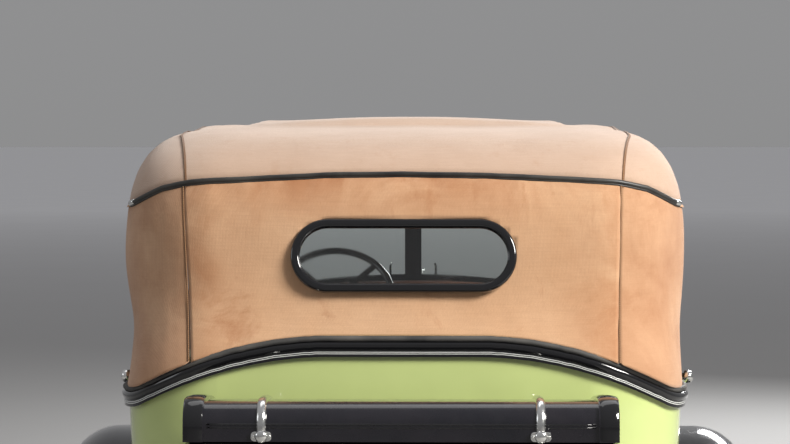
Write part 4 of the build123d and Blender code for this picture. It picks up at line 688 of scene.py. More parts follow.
def curtain_bottom(x):
    """Lower edge of the curtain, above the belt."""
    return lowest(lambda z: from_behind(x, z))


def in_window(place):
    """Whether a place is inside the window's rounded outline."""
    radius = WINDOW_HALF.z - WINDOW_INSET
    run = max(0.0, abs(place.x - WINDOW_MIDDLE.x) - (WINDOW_HALF.x - WINDOW_INSET - radius))
    return math.hypot(run, place.z - WINDOW_MIDDLE.z) < radius


def piping_height(x):
    """Height of the piping at a distance from the middle of the car."""
    x = abs(x)
    for (x0, z0), (x1, z1) in zip(PIPING, PIPING[1:]):
        if x <= x1:
            return z0 + (z1 - z0) * (x - x0) / (x1 - x0)
    return PIPING_END_Z


print("window", [round(2 * v, 3) for v in WINDOW_HALF], "piping ends at", PIPING_END_Z)

# %% Rear curtain
COLUMNS, ROWS = 120, 72


def bridged(depths):
    """Depths in which each gap is bridged by a straight line."""
    known = [j for j, y in enumerate(depths) if y is not None]
    full = []
    for j, y in enumerate(depths):
        if y is None:
            a = max((k for k in known if k < j), default=known[0])
            b = min((k for k in known if k > j), default=known[-1])
            y = depths[a] + (depths[b] - depths[a]) * (j - a) / max(1, b - a)
        full.append(y)
    return full


def pucker(x, z, low, high):
    """Small relief of stretched canvas: upright drags near the seams, ripples under the piping."""
    drag = waver(x * 3, 0, z * 22) * hump(abs(x), SEAM_X, 0.05) * 2.2
    ripple = waver(x * 26, 3, z * 4) * hump(z, high, 0.05) * 2.0
    gather = waver(x * 18, 7, z * 5) * hump(z, low, 0.06) * 1.4
    broad = waver(x * 3.2, 11, z * 3.6) * 2.4
    return (drag + ripple + gather + broad) * MM


columns = []
for u in spread(-1, 1, COLUMNS):
    foot, head = (u * x for x in SEAM_LEAN[1 if u > 0 else -1])
    low, high = curtain_bottom(foot), piping_height(head)
    places = list(zip(spread(foot, head, ROWS), spread(low, high, ROWS)))
    hits = [from_behind(x, z) for x, z in places]
    line = []
    for (x, z), y in zip(places, bridged([hit[0].y if hit else None for hit in hits])):
        edge = max(0.0, min(1.0, (z - low) / 0.02, (high - z) / 0.02 + 0.2))
        line.append(Vector((x, y - (1.2 * MM + pucker(x, z, low, high)) * edge, z)))
    columns.append(line)
curtain = grid_object("rear_curtain", columns, drop=in_window)
thickened(curtain, CLOTH, curtain.data.polygons[0].normal.y < 0)
dressed(curtain, "top_cloth", CURTAIN_CLOTH, "body", "top_fabric")

# %% [markdown]
# A quarter panel is laid by rays that fan out from an upright axis inside the corner. The first
# ray meets the seam and the last one the panel's slanted front edge, so the columns close up
# round the corner where the curve is tight. The cloth is drawn in at the waist, more on the
# left, and slants into folds above it.

# %% Quarter panels
FAN_X, FAN_Y = 0.3, -1.5
QUARTER_COLUMNS, QUARTER_ROWS = 84, 60
WAIST, FOLDS = {1: 3.0, -1: 13.0}, {1: 1.6, -1: 6.0}  # side: depth in millimetres
QUARTER_FOOT_Z, QUARTER_X = 1.05, 0.742
SEAM_FOOT_Z, SEAM_RISE = 1.1, 0.55


def seam_x(side, z):
    """Distance of an upright seam from the middle at a height; each leans a little outward."""
    foot, head = SEAM_LEAN[side]
    return foot + (head - foot) * limited((z - SEAM_FOOT_Z) / SEAM_RISE)


def seam_angle(side, z):
    """Fan angle of the upright seam at a height."""
    x = seam_x(side, z)
    found = from_behind(side * x, z)
    return math.atan2((found[0].y if found else -1.96) - FAN_Y, x - FAN_X)


def quarter_edge(z):
    """Fan angle of the quarter's front edge at a height."""
    rise = (z - QUARTER_FOOT_Z) / (FLAP_Z - QUARTER_FOOT_Z)
    y = QUARTER_FOOT_Y + (QUARTER_HEAD_Y - QUARTER_FOOT_Y) * rise - CLOTH
    return math.atan2(y - FAN_Y, QUARTER_X - FAN_X)


def quarter_point(side, t, z):
    """The quarter's outer surface at a height, at a share t of the way from seam to front edge."""
    start, end = seam_angle(side, z), quarter_edge(z)
    angle = start + (end - start) * t
    way = Vector((side * math.cos(angle), math.sin(angle), 0))
    return strike(top_surface, Vector((side * FAN_X, FAN_Y, z)) + way * 2, -way, 2.0)


def quarter_top(side, t):
    """Height of the quarter's upper edge, which follows the piping."""
    height = piping_height(SEAM_X)
    for _ in range(4):
        found = quarter_point(side, t, height)
        height = piping_height(found[0].x) if found else height
    return height


def quarter_relief(side, t, u):
    """The pull of the cloth round a corner, at shares t of the way forward and u of the way up."""
    waist = WAIST[side] * hump(u, 0.36, 0.3) * math.sin(math.pi * min(1.0, t * 1.6)) ** 2
    slant = t * 2.1 + (1 - u) * 0.9 + waver(t * 3, side * 3, u * 2) * 0.25
    fold = FOLDS[side] * math.sin(slant * 7) * hump(t, 0.35, 0.25) * hump(u, 0.55, 0.3)
    fine = waver(t * 9, side * 5, u * 2) * 2.0 + waver(t * 30, side, u * 4) * 0.7
    return (fine + fold - waist) * MM


quarter_rows, quarter_panels = {}, {}
for side, name in SIDES:
    lines = []
    for t in spread(0, 1, QUARTER_COLUMNS):
        low = lowest(lambda z: quarter_point(side, t, z))
        high = quarter_top(side, t)
        line, place = [], quarter_point(side, t, low + 0.01)[0]
        for z in spread(low, high, QUARTER_ROWS):
            found = quarter_point(side, t, z)
            if found:
                place = found[0]
            elif line:
                place = Vector((line[-1].x, line[-1].y, z))
            out = Vector((place.x - side * FAN_X, place.y - FAN_Y, 0)).normalized()
            edge = max(0.0, min(1.0, (z - low) / 0.03, (high - z) / 0.02 + 0.2))
            relief = 0.6 * MM + quarter_relief(side, t, (z - low) / (high - low))
            line.append(place + out * relief * edge)
        lines.append(line)
    quarter_rows[side] = lines
    panel = face_outward(grid_object(f"quarter_{name}", lines))
    cut = cloth_area(panel)
    thickened(panel, CLOTH, middle_normal(panel).x * side > 0)
    quarter_panels[side] = (dressed(panel, "top_cloth", QUARTER_CLOTH), cut)
    print(panel.name, "faces", len(panel.data.polygons), "area", cut)

# %% [markdown]
# The deck is a height field above the piping. Its rows run straight across in front of the last
# bow, then fan round the rear corners. Between two bows the canvas sags a few millimetres, and
# that shallow scallop is what makes a top look like cloth and not like sheet metal. Over the
# bows' ends it stands a little higher.

# %% Deck
BOWS = (-1.285, -0.62, 0.06, 0.664)
SAG, SAG_HALF = 9 * MM, 0.62
SHOULDER_LIFT, SHOULDER_X, SHOULDER_WIDTH = 18 * MM, 0.56, 0.13
TURN_Y = -1.3
DECK_SPAN, STRAIGHT_ROWS, FAN_ROWS = 96, 110, 40
deck_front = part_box("top_fabric")[1].y - CLOTH


def deck_height(x, y):
    """Height of the CAD cloth at a place, or None beside it."""
    found = strike(top_surface, (x, y, 3), (0, 0, -1), 3)
    return found[0].z if found else None


def bow_lift(x, y):
    """How far the canvas stands above the CAD cloth; less than nothing between two bows."""
    lift = SHOULDER_LIFT * limited((y + 1.25) / 0.3) * hump(abs(x), SHOULDER_X, SHOULDER_WIDTH)
    for a, b in zip(BOWS, BOWS[1:]):
        if a < y < b:
            across = max(0.0, 1 - (abs(x) / SAG_HALF) ** 4)
            return lift - SAG * math.sin(math.pi * (y - a) / (b - a)) ** 2 * across
    return lift


def low_edge(y):
    """Height just above the lower edge of the deck's side at a station, and the half width there."""
    z = (FLAP_Z if y > QUARTER_HEAD_Y else PIPING_END_Z) + 0.001
    found = from_side(top_surface, 1, y, z)
    return z, found[0].x if found else 0.7


def rear_edge(phi):
    """The deck's rear edge, at a turn about the last bow's middle: 0 is right, pi left."""
    way = Vector((math.cos(phi), -math.sin(phi), 0))
    height = PIPING_END_Z
    for _ in range(5):
        axis = Vector((0, TURN_Y, height))
        found = strike(top_surface, axis + way * 2, -way, 2)
        place = found[0] if found else axis + way * 0.7
        height = piping_height(place.x)
    return place


def unevenness(x, y):
    """The cloth's slow waviness."""
    return waver(x * 4, y * 4, 2) * 2 * MM


deck_rows = []
turns = spread(0, math.pi, DECK_SPAN)
for y in spread(deck_front, TURN_Y, STRAIGHT_ROWS):
    edge_z, half = low_edge(y)
    row = []
    for phi in turns:
        x = half * math.cos(phi)
        z = deck_height(x, y)
        z = edge_z if z is None or phi in (turns[0], turns[-1]) else z
        row.append(Vector((x, y, z + bow_lift(x, y) + unevenness(x, y))))
    deck_rows.append(row)
edge_points = [rear_edge(phi) for phi in turns]
half = low_edge(TURN_Y)[1]
for t in spread(0, 1, FAN_ROWS)[1:]:
    row = []
    for phi, end in zip(turns, edge_points):
        start_x = half * math.cos(phi)
        x, y = start_x + (end.x - start_x) * t, TURN_Y + (end.y - TURN_Y) * t
        z = deck_height(x, y) if t < 1 else None
        row.append(Vector((x, y, (end.z if z is None else z) + unevenness(x, y) * (1 - t))))
    deck_rows.append(row)
deck = face_outward(grid_object("deck", deck_rows))
thickened(deck, CLOTH, middle_normal(deck).z > 0)
dressed(deck, "top_cloth", DECK_CLOTH)

# %% [markdown]
# ### Seams and piping
# The upright seams are felled: a doubled strip, stitched down both edges, its dark brown
# colour painted shade along the seam. The piping is a black corded strip nailed over the joint,
# a little wavy, and each end is closed with a bright tip.

# %% Cloth for seams
def stitched(name, colour):
    """Doubled cloth with two rows of stitches along a strip's edges."""
    look = Look(name, Sheen_Weight=0.2, Specular_IOR_Level=0.2)
    along, across, _ = look.split(look.add("ShaderNodeUVMap", uv_map="strip").outputs[0])
    dash = look.math("GREATER_THAN", look.math("SINE", look.times(along, 1300)), -0.2)
    off_middle = look.math("ABSOLUTE", look.math("SUBTRACT", across, 0.009))
    off_row = look.math("ABSOLUTE", look.math("SUBTRACT", off_middle, 0.006))
    stitch = look.times(dash, look.math("LESS_THAN", off_row, 0.0009))
    tone = look.ramp(look.noise(9, 5), (0.3, shade(colour, 0.82)), (0.7, colour))
    weave = look.bump(look.math("SINE", look.times(along, 3200)), 0.2, 0.0004)
    return look.done(Base_Color=look.mix(stitch, tone, srgb(150, 118, 84)), Roughness=0.85,
                     Normal=look.bump(stitch, 0.6, 0.0012, weave))


SEAM_CLOTH = stitched("seam_cloth", srgb(196, 152, 114))
DECK_SEAM_CLOTH = stitched("deck_seam_cloth", srgb(206, 176, 150))
# Stitched strip for the upright and deck seams. Its dark brown colour is painted shade along the seam.
SEAM_SHADE_CLOTH = stitched("seam_painted_shade", srgb(112, 78, 52))

# %% Seams
seam_strips, deck_trim = [], []
for side, name in SIDES:
    points = []
    low, high = curtain_bottom(side * SEAM_LEAN[side][0]), piping_height(SEAM_X)
    for z in spread(low + 0.002, high, 60):
        found = from_behind(side * seam_x(side, z), z)
        points.append(found[0] + REARWARD * 1.6 * MM if found else Vector((points[-1].x, points[-1].y, z)))
    seam = strip(f"upright_seam_{name}", points, Vector((side * 0.2, -1, 0.05)), 4.8 * MM, 1.6 * MM)
    seam_strips.append(dressed(seam, "top_cloth", SEAM_SHADE_CLOTH))
    points = []
    for y in spread(-1.872, deck_front - 0.02, 120):
        x = side * (0.55 + 0.04 * min(1.0, (y + 1.88) / 0.3))
        z = deck_height(x, y)
        if z is not None:
            points.append(Vector((x, y, z + bow_lift(x, y) + 1.5 * MM)))
    seam = strip(f"deck_seam_{name}", points, Vector((side * 0.35, 0, 1)), 7 * MM, 1.8 * MM)
    deck_trim.append(dressed(seam, "top_cloth", SEAM_SHADE_CLOTH))
print("seams", len(seam_strips) + len(deck_trim))

# %% Piping
CORD_OUT, CORD_R, FLANGE_DROP, FLANGE_R = 4.5 * MM, 6.2 * MM, 7 * MM, 3.2 * MM
reach = [k for k, p in enumerate(edge_points) if p.y < PIPING_END_Y]
piping = []
for p in edge_points[reach[0]:reach[-1] + 1]:
    out = Vector((p.x * 0.55, p.y - TURN_Y, 0.12)).normalized()
    piping.append(p + out * CORD_OUT + UPWARD * waver(p.x * 9, p.y * 9, 1) * 2.4 * MM)
cord = tube("piping_cord", piping, CORD_R, 14)
flange = tube("piping_flange", [p - UPWARD * FLANGE_DROP for p in piping], FLANGE_R, 10)
deck_trim.append(dressed(joined("deck_piping", [cord, flange]), "top_cloth", THREAD))
for name, run in (("right", edge_points[:reach[0] + 1]), ("left", edge_points[reach[-1]:])):
    away = [Vector((p.x, p.y - TURN_Y, 0)) for p in run]
    if len(run) > 2:
        spine = [p + out.normalized() * 1.5 * MM for p, out in zip(run, away)]
        outs = [out + UPWARD * 0.6 for out in away]
        seam = strip(f"shoulder_seam_{name}", spine, outs, 14 * MM, 1.5 * MM)
        deck_trim.append(dressed(seam, "top_cloth", SEAM_CLOTH))
for name, tip, inner in (("right", piping[0], piping[1]), ("left", piping[-1], piping[-2])):
    way = (tip - inner).normalized()
    stops = [inner, inner + way * 6 * MM, tip, tip + way * 6 * MM, tip + way * 9 * MM]
    end = tube(f"piping_tip_{name}", stops, [6.6 * MM, 8 * MM, 8 * MM, 5.5 * MM, 1 * MM], 14)
    deck_trim.append(dressed(end, "bright_plating"))
print("piping", round(sum((b - a).length for a, b in zip(piping, piping[1:])), 2), "m long")

# %% [markdown]
# The front edge of the deck and the front edges of the quarters are bound with a narrow hem.
# With them every sheet is complete.

# %% Hems
FLAP_ROWS = 104  # rows of the deck that hang free of the quarters


def hem(name, edge, radius, look):
    """A narrow round binding along an edge."""
    return dressed(tube(name, edge, radius, 8), "top_cloth", look)


for side, name in SIDES:
    hem(f"quarter_hem_{name}", quarter_rows[side][-1], 3.6 * MM, SEAM_CLOTH)
    flap = [row[0 if side > 0 else -1] for row in deck_rows[:FLAP_ROWS]]
    deck_trim.append(hem(f"flap_hem_{name}", flap, 3.4 * MM, DECK_SEAM_CLOTH))
deck_trim.append(hem("front_hem", deck_rows[0], 4 * MM, DECK_SEAM_CLOTH))
for side, (panel, cut) in quarter_panels.items():
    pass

# %% [markdown]
# ## The belt
# On the car a grey rubber welt lies between cloth and moulding. The moulding below it is half
# round and black, and two fine silver lines run along its foot. All of them follow the belt of
# the CAD tub, so their path is read from the moulding's own lower edge.

# %% Belt
belt_surface = node_surface("belt_moulding")
BELT_AXIS, BELT_LOW_Z, BELT_HIGH_Z = Vector((0, -1.15, 0)), 1.03, 1.28
SILVER_LINES = (("silver_line_upper", 0.0115), ("silver_line_lower", 0.0073))  # name, height above the foot
belt_line = []
for angle in spread(math.radians(-1), math.radians(181), 160):
    way = Vector((math.cos(angle) * 0.74, -math.sin(angle), 0)).normalized()

    def cast(z, way=way):
        return strike(belt_surface, BELT_AXIS + way * 2 + UPWARD * z, -way, 1.9)

    heights = [z for z in spread(BELT_LOW_Z, BELT_HIGH_Z, 160) if cast(z)]
    if heights:
        low, high = heights[0], heights[-1]
        middle, normal = cast((low + high) / 2)
        normal = Vector((normal.x, normal.y, 0)).normalized()
        belt_line.append((middle, normal if normal.dot(way) > 0 else -normal, low, high, cast))
belt_normals = [station[1] for station in belt_line]
belt_rise = sum(station[3] - station[2] for station in belt_line) / len(belt_line)


def along_belt(height, out):
    """A path that follows the belt at a height above its foot, standing off its face."""
    path = []
    for middle, normal, low, high, cast in belt_line:
        found = cast(low + height) if low + height < high else None
        place = found[0] if found else Vector((middle.x, middle.y, low + height))
        path.append(place + normal * out)
    return path


dressed(tube("belt_welt", along_belt(belt_rise + 0.007, -0.004), 7.5 * MM), "black_gloss", WELT_GREY)
bead_path = along_belt(belt_rise * 0.7, -0.001)
dressed(strip("belt_bead", bead_path, belt_normals, belt_rise * 0.6, 6.5 * MM, 11), "black_gloss")
for name, height in SILVER_LINES:
    line = strip(name, along_belt(height, 0.0004), belt_normals, 1.9 * MM, 0.6 * MM, 3)
    dressed(line, "bright_plating", SILVER_LINE)
print("belt stations", len(belt_line), "rise", round(belt_rise, 4))

# %% [markdown]
# Along the doors the belt continues as a flat black moulding. Each door has its own length of it,
# so that it swings with the door, and a short length covers each post between the doors.

# %% Flat belts and door handles
FLAT_BELT_Z, FLAT_BELT_RISE = 1.069, 0.038
HANDLE_Z, HANDLE_REACH, HANDLE_INSET = 0.98, 0.1, 0.07
POSTS = (("middle", -0.068, -0.014), ("front", 0.650, 0.696))  # name, start, end
ROSE = [(0, 0.021), (0.004, 0.021), (0.011, 0.014), (0.03, 0.008), (0.034, 0.002)]
tub_surface = node_surface("body_tub")


def flat_belt(name, surface, side, start, end, steps, body):
    """A length of the flat moulding between two stations."""
    hits = [from_side(surface, side, y, FLAT_BELT_Z) for y in spread(start, end, steps)]
    out = Vector((side, 0, 0))
    spine = [hit[0] + out * 0.5 * MM for hit in hits if hit and 0.5 < abs(hit[0].x) < 0.745]
    if len(spine) > 2:
        dressed(strip(name, spine, out, FLAT_BELT_RISE, 9 * MM, 9), "black_gloss", GLOSS_BLACK, body)


for side, name in SIDES:
    out = Vector((side, 0, 0))
    for door in DOORS:
        node = f"{door}_{name}"
        low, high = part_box(node)
        surface = node_surface(node)
        flat_belt(f"{node}_belt", surface, side, low.y + 0.006, high.y - 0.006, 40, node)
        lever = REARWARD if door == "front_door" else FORWARD
        free_y = high.y - HANDLE_INSET if door == "front_door" else low.y + HANDLE_INSET
        at = from_side(surface, side, free_y, HANDLE_Z)[0]
        lever = lever * HANDLE_REACH
        bar = [at + out * 0.03, at + out * 0.036 + lever * 0.4, at + out * 0.034 + lever]
        pieces = [lathe("rose", ROSE, at, out, 32), tube("lever", bar, [0.009, 0.0065, 0.008])]
        bright(f"{node}_handle", pieces, node)
for side, name in SIDES:
    for post, start, end in POSTS:
        flat_belt(f"{post}_post_belt_{name}", tub_surface, side, start, end, 6, "body")
print("handles at", HANDLE_Z)

# %% [markdown]
# ## The trunk
# The trunk is a lacquered box with half-round bindings at its ends. Two bright straps run over
# the lid, and a screwed latch plate under each closes on a lock plate on the box. What lies on
# the lid rides on the lid, so the trunk can be opened.

# %% Plates
def rounded(half_width, half_height, radius, steps=6):
    """A rounded rectangle as (across, up) pairs."""
    outline = []
    for sx, sy, start in ((1, 1, 0), (-1, 1, 90), (-1, -1, 180), (1, -1, 270)):
        for a in spread(math.radians(start), math.radians(start + 90), steps):
            outline.append((sx * (half_width - radius) + radius * math.cos(a),
                            sy * (half_height - radius) + radius * math.sin(a)))
    return outline


def prism(name, base, rise, bevel, segments):
    """A flat outline drawn out by a vector, with rounded edges."""
    count = len(base)
    rim = [[k, (k + 1) % count, count + (k + 1) % count, count + k] for k in range(count)]
    faces = [list(range(count)), list(range(count, 2 * count)), *rim]
    item = face_outward(new_object(name, base + [p + rise for p in base], faces, smooth=False))
    return with_modifier(item, "BEVEL", width=bevel, segments=segments)


def plate(name, outline, place, thickness):
    """A flat plate with an outline, on a face that looks rearward."""
    base = [Vector(place) + Vector((across, 0, up)) for across, up in outline]
    return prism(name, base, REARWARD * thickness, 1.2 * MM, 2)


# %% Trunk fittings
lid_surface = node_surface("trunk_lid")
TRUNK_FACE_Y, LID_FOOT_Z, LATCH_Z, LOCK_Z = -2.421, 1.062, 1.0735, 1.018
STRAP_X, STRAP_WIDTH, BINDING_X, BINDING_WIDTH, HEAD_R = 0.3235, 0.023, 0.4815, 0.043, 4.2 * MM
BEADS = (("upper", 1.1005), ("lower", 1.0935))  # name, height
CROWN = [(0, 0.015), (0.004, 0.0145), (0.008, 0.009), (0.0095, 0.001)]
BARREL = [(0, 0.016), (0.009, 0.016), (0.011, 0.014), (0.0115, 0.001)]
GRIP = ((0.505, -2.30, 0.90), (0.530, -2.29, 0.895), (0.534, -2.24, 0.885),
        (0.530, -2.19, 0.895), (0.505, -2.18, 0.90))


def over_lid(x, first=0):
    """Path over the lid from its rear foot to its front edge, with the surface's normals."""
    points, outs = [], []
    for a in spread(math.radians(first), math.radians(168), 80):
        way = Vector((0, -math.cos(a), math.sin(a)))
        found = strike(lid_surface, Vector((x, -2.24, LID_FOOT_Z + 0.004)) + way, -way, 1)
        if found:
            points.append(found[0])
            outs.append(Vector((0, found[1].y, found[1].z)))
    return points, outs


def binding(name, points, outs, body):
    """Half-round binding of the trunk's ends."""
    dressed(strip(name, points, outs, BINDING_WIDTH, 3.5 * MM, 9), "trunk_black", GLOSS_BLACK, body)


for side, name in SIDES:
    binding(f"lid_binding_{name}", *over_lid(side * BINDING_X), "trunk_lid")
    foot = [Vector((side * BINDING_X, -2.428, z)) for z in spread(1.052, 0.662, 12)]
    binding(f"trunk_binding_{name}", foot, REARWARD, "body")
    strap = strip("strap", *over_lid(side * STRAP_X, 1), STRAP_WIDTH, 9 * MM, 11)
    x = side * STRAP_X
    latch = [strap, plate("plate", rounded(0.024, 0.0115, 0.009), (x, TRUNK_FACE_Y, LATCH_Z), 7 * MM),
             lathe("crown", CROWN, (x, TRUNK_FACE_Y - 6 * MM, LATCH_Z), REARWARD, 24)]
    latch += [screw((x + dx, TRUNK_FACE_Y - 7 * MM, LATCH_Z), REARWARD, HEAD_R) for dx in (-0.0185, 0.0185)]
    bright(f"lid_latch_{name}", latch, "trunk_lid", "trunk_straps")
    lock = [plate("plate", rounded(0.024, 0.034, 0.012), (x, TRUNK_FACE_Y, LOCK_Z), 4 * MM),
            lathe("barrel", BARREL, (x, TRUNK_FACE_Y - 4 * MM, LOCK_Z + 2 * MM), REARWARD, 28)]
    lock += [screw((x + dx, TRUNK_FACE_Y - 4 * MM, LOCK_Z + dz), REARWARD, HEAD_R)
             for dx in (-0.016, 0.016) for dz in (-0.026, 0.026)]
    bright(f"trunk_lock_{name}", lock)
    bright(f"trunk_grip_{name}", [tube("grip", [(side * x, y, z) for x, y, z in GRIP], 8 * MM)])
for name, z in BEADS:
    line = [(x, TRUNK_FACE_Y + MM, z) for x in spread(-0.45, 0.45, 30)]
    dressed(tube(f"lid_bead_{name}", line, 2.4 * MM, 10), "trunk_black", GLOSS_BLACK, "trunk_lid")
print("trunk fitted, latches at", LATCH_Z, "locks at", LOCK_Z)

# %% [markdown]
# ## Lamps, knobs and bolts
# Small bright fittings make a car look finished: lenses in their rims, the knobs on which the
# top turns, bolts through the bumper bars and on the hubs.

# %% Lamps and knobs
TURNED = (  # name, (along, radius) profile, centre on the right, way (None: outward), turns, slot, finish
    ("headlamp_lens", [(0, 0.119), (0.004, 0.117), (0.009, 0.095), (0.013, 0.06), (0.015, 0.002)],
     (0.395, 2.2195, 0.935), FORWARD, 64, "window_glass", HEADLAMP_GLASS),
    ("headlamp_rim",
     [(-0.012, 0.1385), (0.0, 0.1405), (0.006, 0.137), (0.008, 0.128), (0.004, 0.118), (-0.002, 0.117)],
     (0.395, 2.2195, 0.935), FORWARD, 64, "bright_plating", CHROME),
    ("tail_lamp_lens", [(0, 0.036), (0.003, 0.035), (0.007, 0.022), (0.008, 0.002)],
     (0.590, -2.466, 0.668), REARWARD, 40, "window_glass", TAIL_GLASS),
    ("tail_lamp_rim", [(-0.005, 0.0445), (0.002, 0.0445), (0.004, 0.040), (0.002, 0.035)],
     (0.590, -2.466, 0.668), REARWARD, 40, "bright_plating", CHROME),
    ("top_pivot_knob",
     [(-0.040, 0.010), (-0.022, 0.010), (-0.02, 0.017), (-0.006, 0.018), (0.001, 0.013), (0.004, 0.002)],
     (0.782, -1.302, 1.112), None, 32, "bright_plating", CHROME),
)
for side, name in SIDES:
    for kind, profile, (x, y, z), way, turns, slot, finish in TURNED:
        piece = lathe(f"{kind}_{name}", profile, (side * x, y, z), way or (side, 0, 0), turns)
        dressed(piece, slot, finish)
    stop = [(side * 0.08, 0.694, 1.285), (side * 0.08, 0.694, 1.322), (side * 0.076, 0.690, 1.330)]
    dressed(tube(f"windshield_stop_{name}", stop, 4 * MM, 10), "black_gloss")
print("turned pieces", 2 * len(TURNED))

# %% Bolts and clamps
HUB_BOLTS = ((0.068, 0.0075), (0.2435, 0.008))  # circle and head radius: hub flange, rim clamps
CLAMP = [(-0.004, 0.034), (0.004, 0.034), (0.010, 0.026), (0.013, 0.012), (0.018, 0.010), (0.020, 0.001)]


def bolted(name, surface, spots, direction, sizes, body="body"):
    """Screw heads where rays against a direction meet a surface."""
    hits = [(strike(surface, spot, -direction, 2.4), radius) for spot, radius in zip(spots, sizes)]
    heads = [screw(hit[0], direction, radius) for hit, radius in hits if hit]
    if heads:
        bright(name, heads, body)
    return len(heads)


def hub_bolts(name, node, side, body):
    """Six bolts through a hub's flange, and the rim's clamping bolts."""
    low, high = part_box(node)
    centre = (low + high) / 2
    spots, sizes = [], []
    for radius, size in HUB_BOLTS:
        for a in (math.radians(60 * k + 15) for k in range(6)):
            y, z = centre.y + radius * math.cos(a), centre.z + radius * math.sin(a)
            spots.append(Vector((side * 2, y, z)))
            sizes.append(size)
    return bolted(name, node_surface(node), spots, Vector((side, 0, 0)), sizes, body)


count = 0
for end, way in (("rear", REARWARD), ("front", FORWARD)):
    spots = [Vector((x, 0, z)) + way * 4 for x in (-0.375, 0.0, 0.375) for z in (0.455, 0.555)]
    count += bolted(f"{end}_bumper_bolts", node_surface(f"{end}_bumper"), spots, way, [0.013] * 6)
for side, name in SIDES:
    for end in ("front", "rear"):
        node = f"wheel_{end}_{name}"
        count += hub_bolts(f"{end}_{name}_wheel_bolts", node, side, node)
    count += hub_bolts(f"spare_{name}_wheel_bolts", "spare_wheels", side, "body")
    clamp = lathe("clamp", CLAMP, (side * 0.840, 1.15, 0.872), (side, 0, 0), 32)
    bright(f"spare_clamp_{name}", [clamp])
print("bolts", count)

# %% [markdown]
# ## Running boards, bonnet catches and the cabin
# The boards carry ribbed rubber in a bright edging. Inside are the plain things that a driver
# needs: three dials, two levers and three pedals, and a leather card on each door.

# %% Running boards and bonnet catches
board_surface = node_surface("running_boards")
RIB_INNER, RIB_OUTER, RIB_BACK, RIB_FRONT = 0.705, 0.903, -0.68, 0.70
BOARD_EDGE_X, BOARD_EDGE_Z, BOARD_TOP_Z = 0.925, 0.417, 0.44
CATCH_STATIONS, CATCH_Z = (1.27, 1.80), 0.70
BOSS = [(0, 0.017), (0.005, 0.016), (0.012, 0.009), (0.02, 0.008)]
for side, name in SIDES:
    ribs = []
    for x in spread(side * RIB_INNER, side * RIB_OUTER, 12):
        found = strike(board_surface, (x, 0.0, 2), (0, 0, -1), 2)
        if found and found[0].z < BOARD_TOP_Z:
            line = [(x, y, found[0].z) for y in spread(RIB_BACK, RIB_FRONT, 8)]
            ribs.append(strip("rib", line, UPWARD, 8 * MM, 2.6 * MM))
    dressed(joined(f"board_ribs_{name}", ribs), "board_rubber")
    line = [(side * BOARD_EDGE_X, y, BOARD_EDGE_Z) for y in spread(-0.70, 1.06, 8)]
    dressed(strip(f"board_edging_{name}", line, Vector((side, 0, 0)), 0.022, 2.4 * MM, 7), "bright_plating")
    node = f"hood_side_{name}"
    surface = node_surface(node)
    out = Vector((side, 0.1, 0)).normalized()
    catches = []
    for y in CATCH_STATIONS:
        found = from_side(surface, side, y, CATCH_Z)
        if found:
            stem = found[0] + out * 0.022
            bar = [stem - UPWARD * 0.032, stem, stem + UPWARD * 0.032]
            catches += [lathe("boss", BOSS, found[0], out, 24), tube("bar", bar, [0.004, 0.007, 0.004])]
    bright(f"bonnet_catches_{name}", catches, node)
    print(name, "board ribs", len(ribs), "catches", len(catches) // 2)

# %% Dials, levers and pedals
PANEL_FACE_Y, DIAL_Z = 0.678, 1.165
RING = [(0, 0.038), (0.007, 0.037), (0.009, 0.034), (0.006, 0.031)]
rings = [plate("dial_plate", rounded(0.175, 0.052, 0.05), (0, PANEL_FACE_Y, DIAL_Z), 3 * MM)]
dials = []
for x in (-0.115, 0.0, 0.115):
    centre = (x, PANEL_FACE_Y - 3 * MM, DIAL_Z)
    rings.append(lathe("ring", RING, centre, REARWARD, 40))
    dials.append(lathe("dial", [(0, 0.0315), (0.005, 0.0315), (0.0052, 0.002)], centre, REARWARD, 40))
dressed(joined("dial_rims", rings), "bright_plating", BRASS)
dressed(joined("dials", dials), "panel_wood", DIAL)
gear = tube("gear", [(0.0, 0.47, 0.67), (0.0, 0.44, 0.80), (0.004, 0.39, 0.92), (0.006, 0.36, 0.99)],
            [0.014, 0.009, 0.008, 0.007])
brake = tube("brake", [(0.10, 0.53, 0.67), (0.10, 0.47, 0.86), (0.10, 0.42, 1.0)], [0.012, 0.008, 0.013])
bright("levers", [gear, brake])
KNOB = 0.022
ball = [(-KNOB * math.cos(a), KNOB * max(0.02, math.sin(a))) for a in spread(0, math.pi, 12)]
dressed(lathe("gear_knob", ball, (0.006, 0.357, 1.0), UPWARD, 24), "black_gloss")
roll = [(x, 0.664, 1.252 - 0.13 * x**2) for x in spread(-0.5, 0.5, 50)]
dressed(tube("dash_roll", roll, 0.019, 14), "seat_leather")
PAD = ((-0.032, -0.025), (0.032, -0.025), (0.032, 0.025), (-0.032, 0.025))
pedals = []
for x in (-0.35, -0.17, -0.08):
    pedals.append(tube("arm", [(x, 0.90, 0.69), (x, 0.84, 0.755), (x, 0.80, 0.80)], 8 * MM, 10))
    face = [Vector((x + dx, 0.79, 0.80 + dz)) for dx, dz in PAD]
    pedals.append(prism("pad", face, FORWARD * 0.013, 4 * MM, 3))
dressed(joined("pedals", pedals), "frame_black")
print("dials", len(dials), "pedals", len(pedals) // 2)

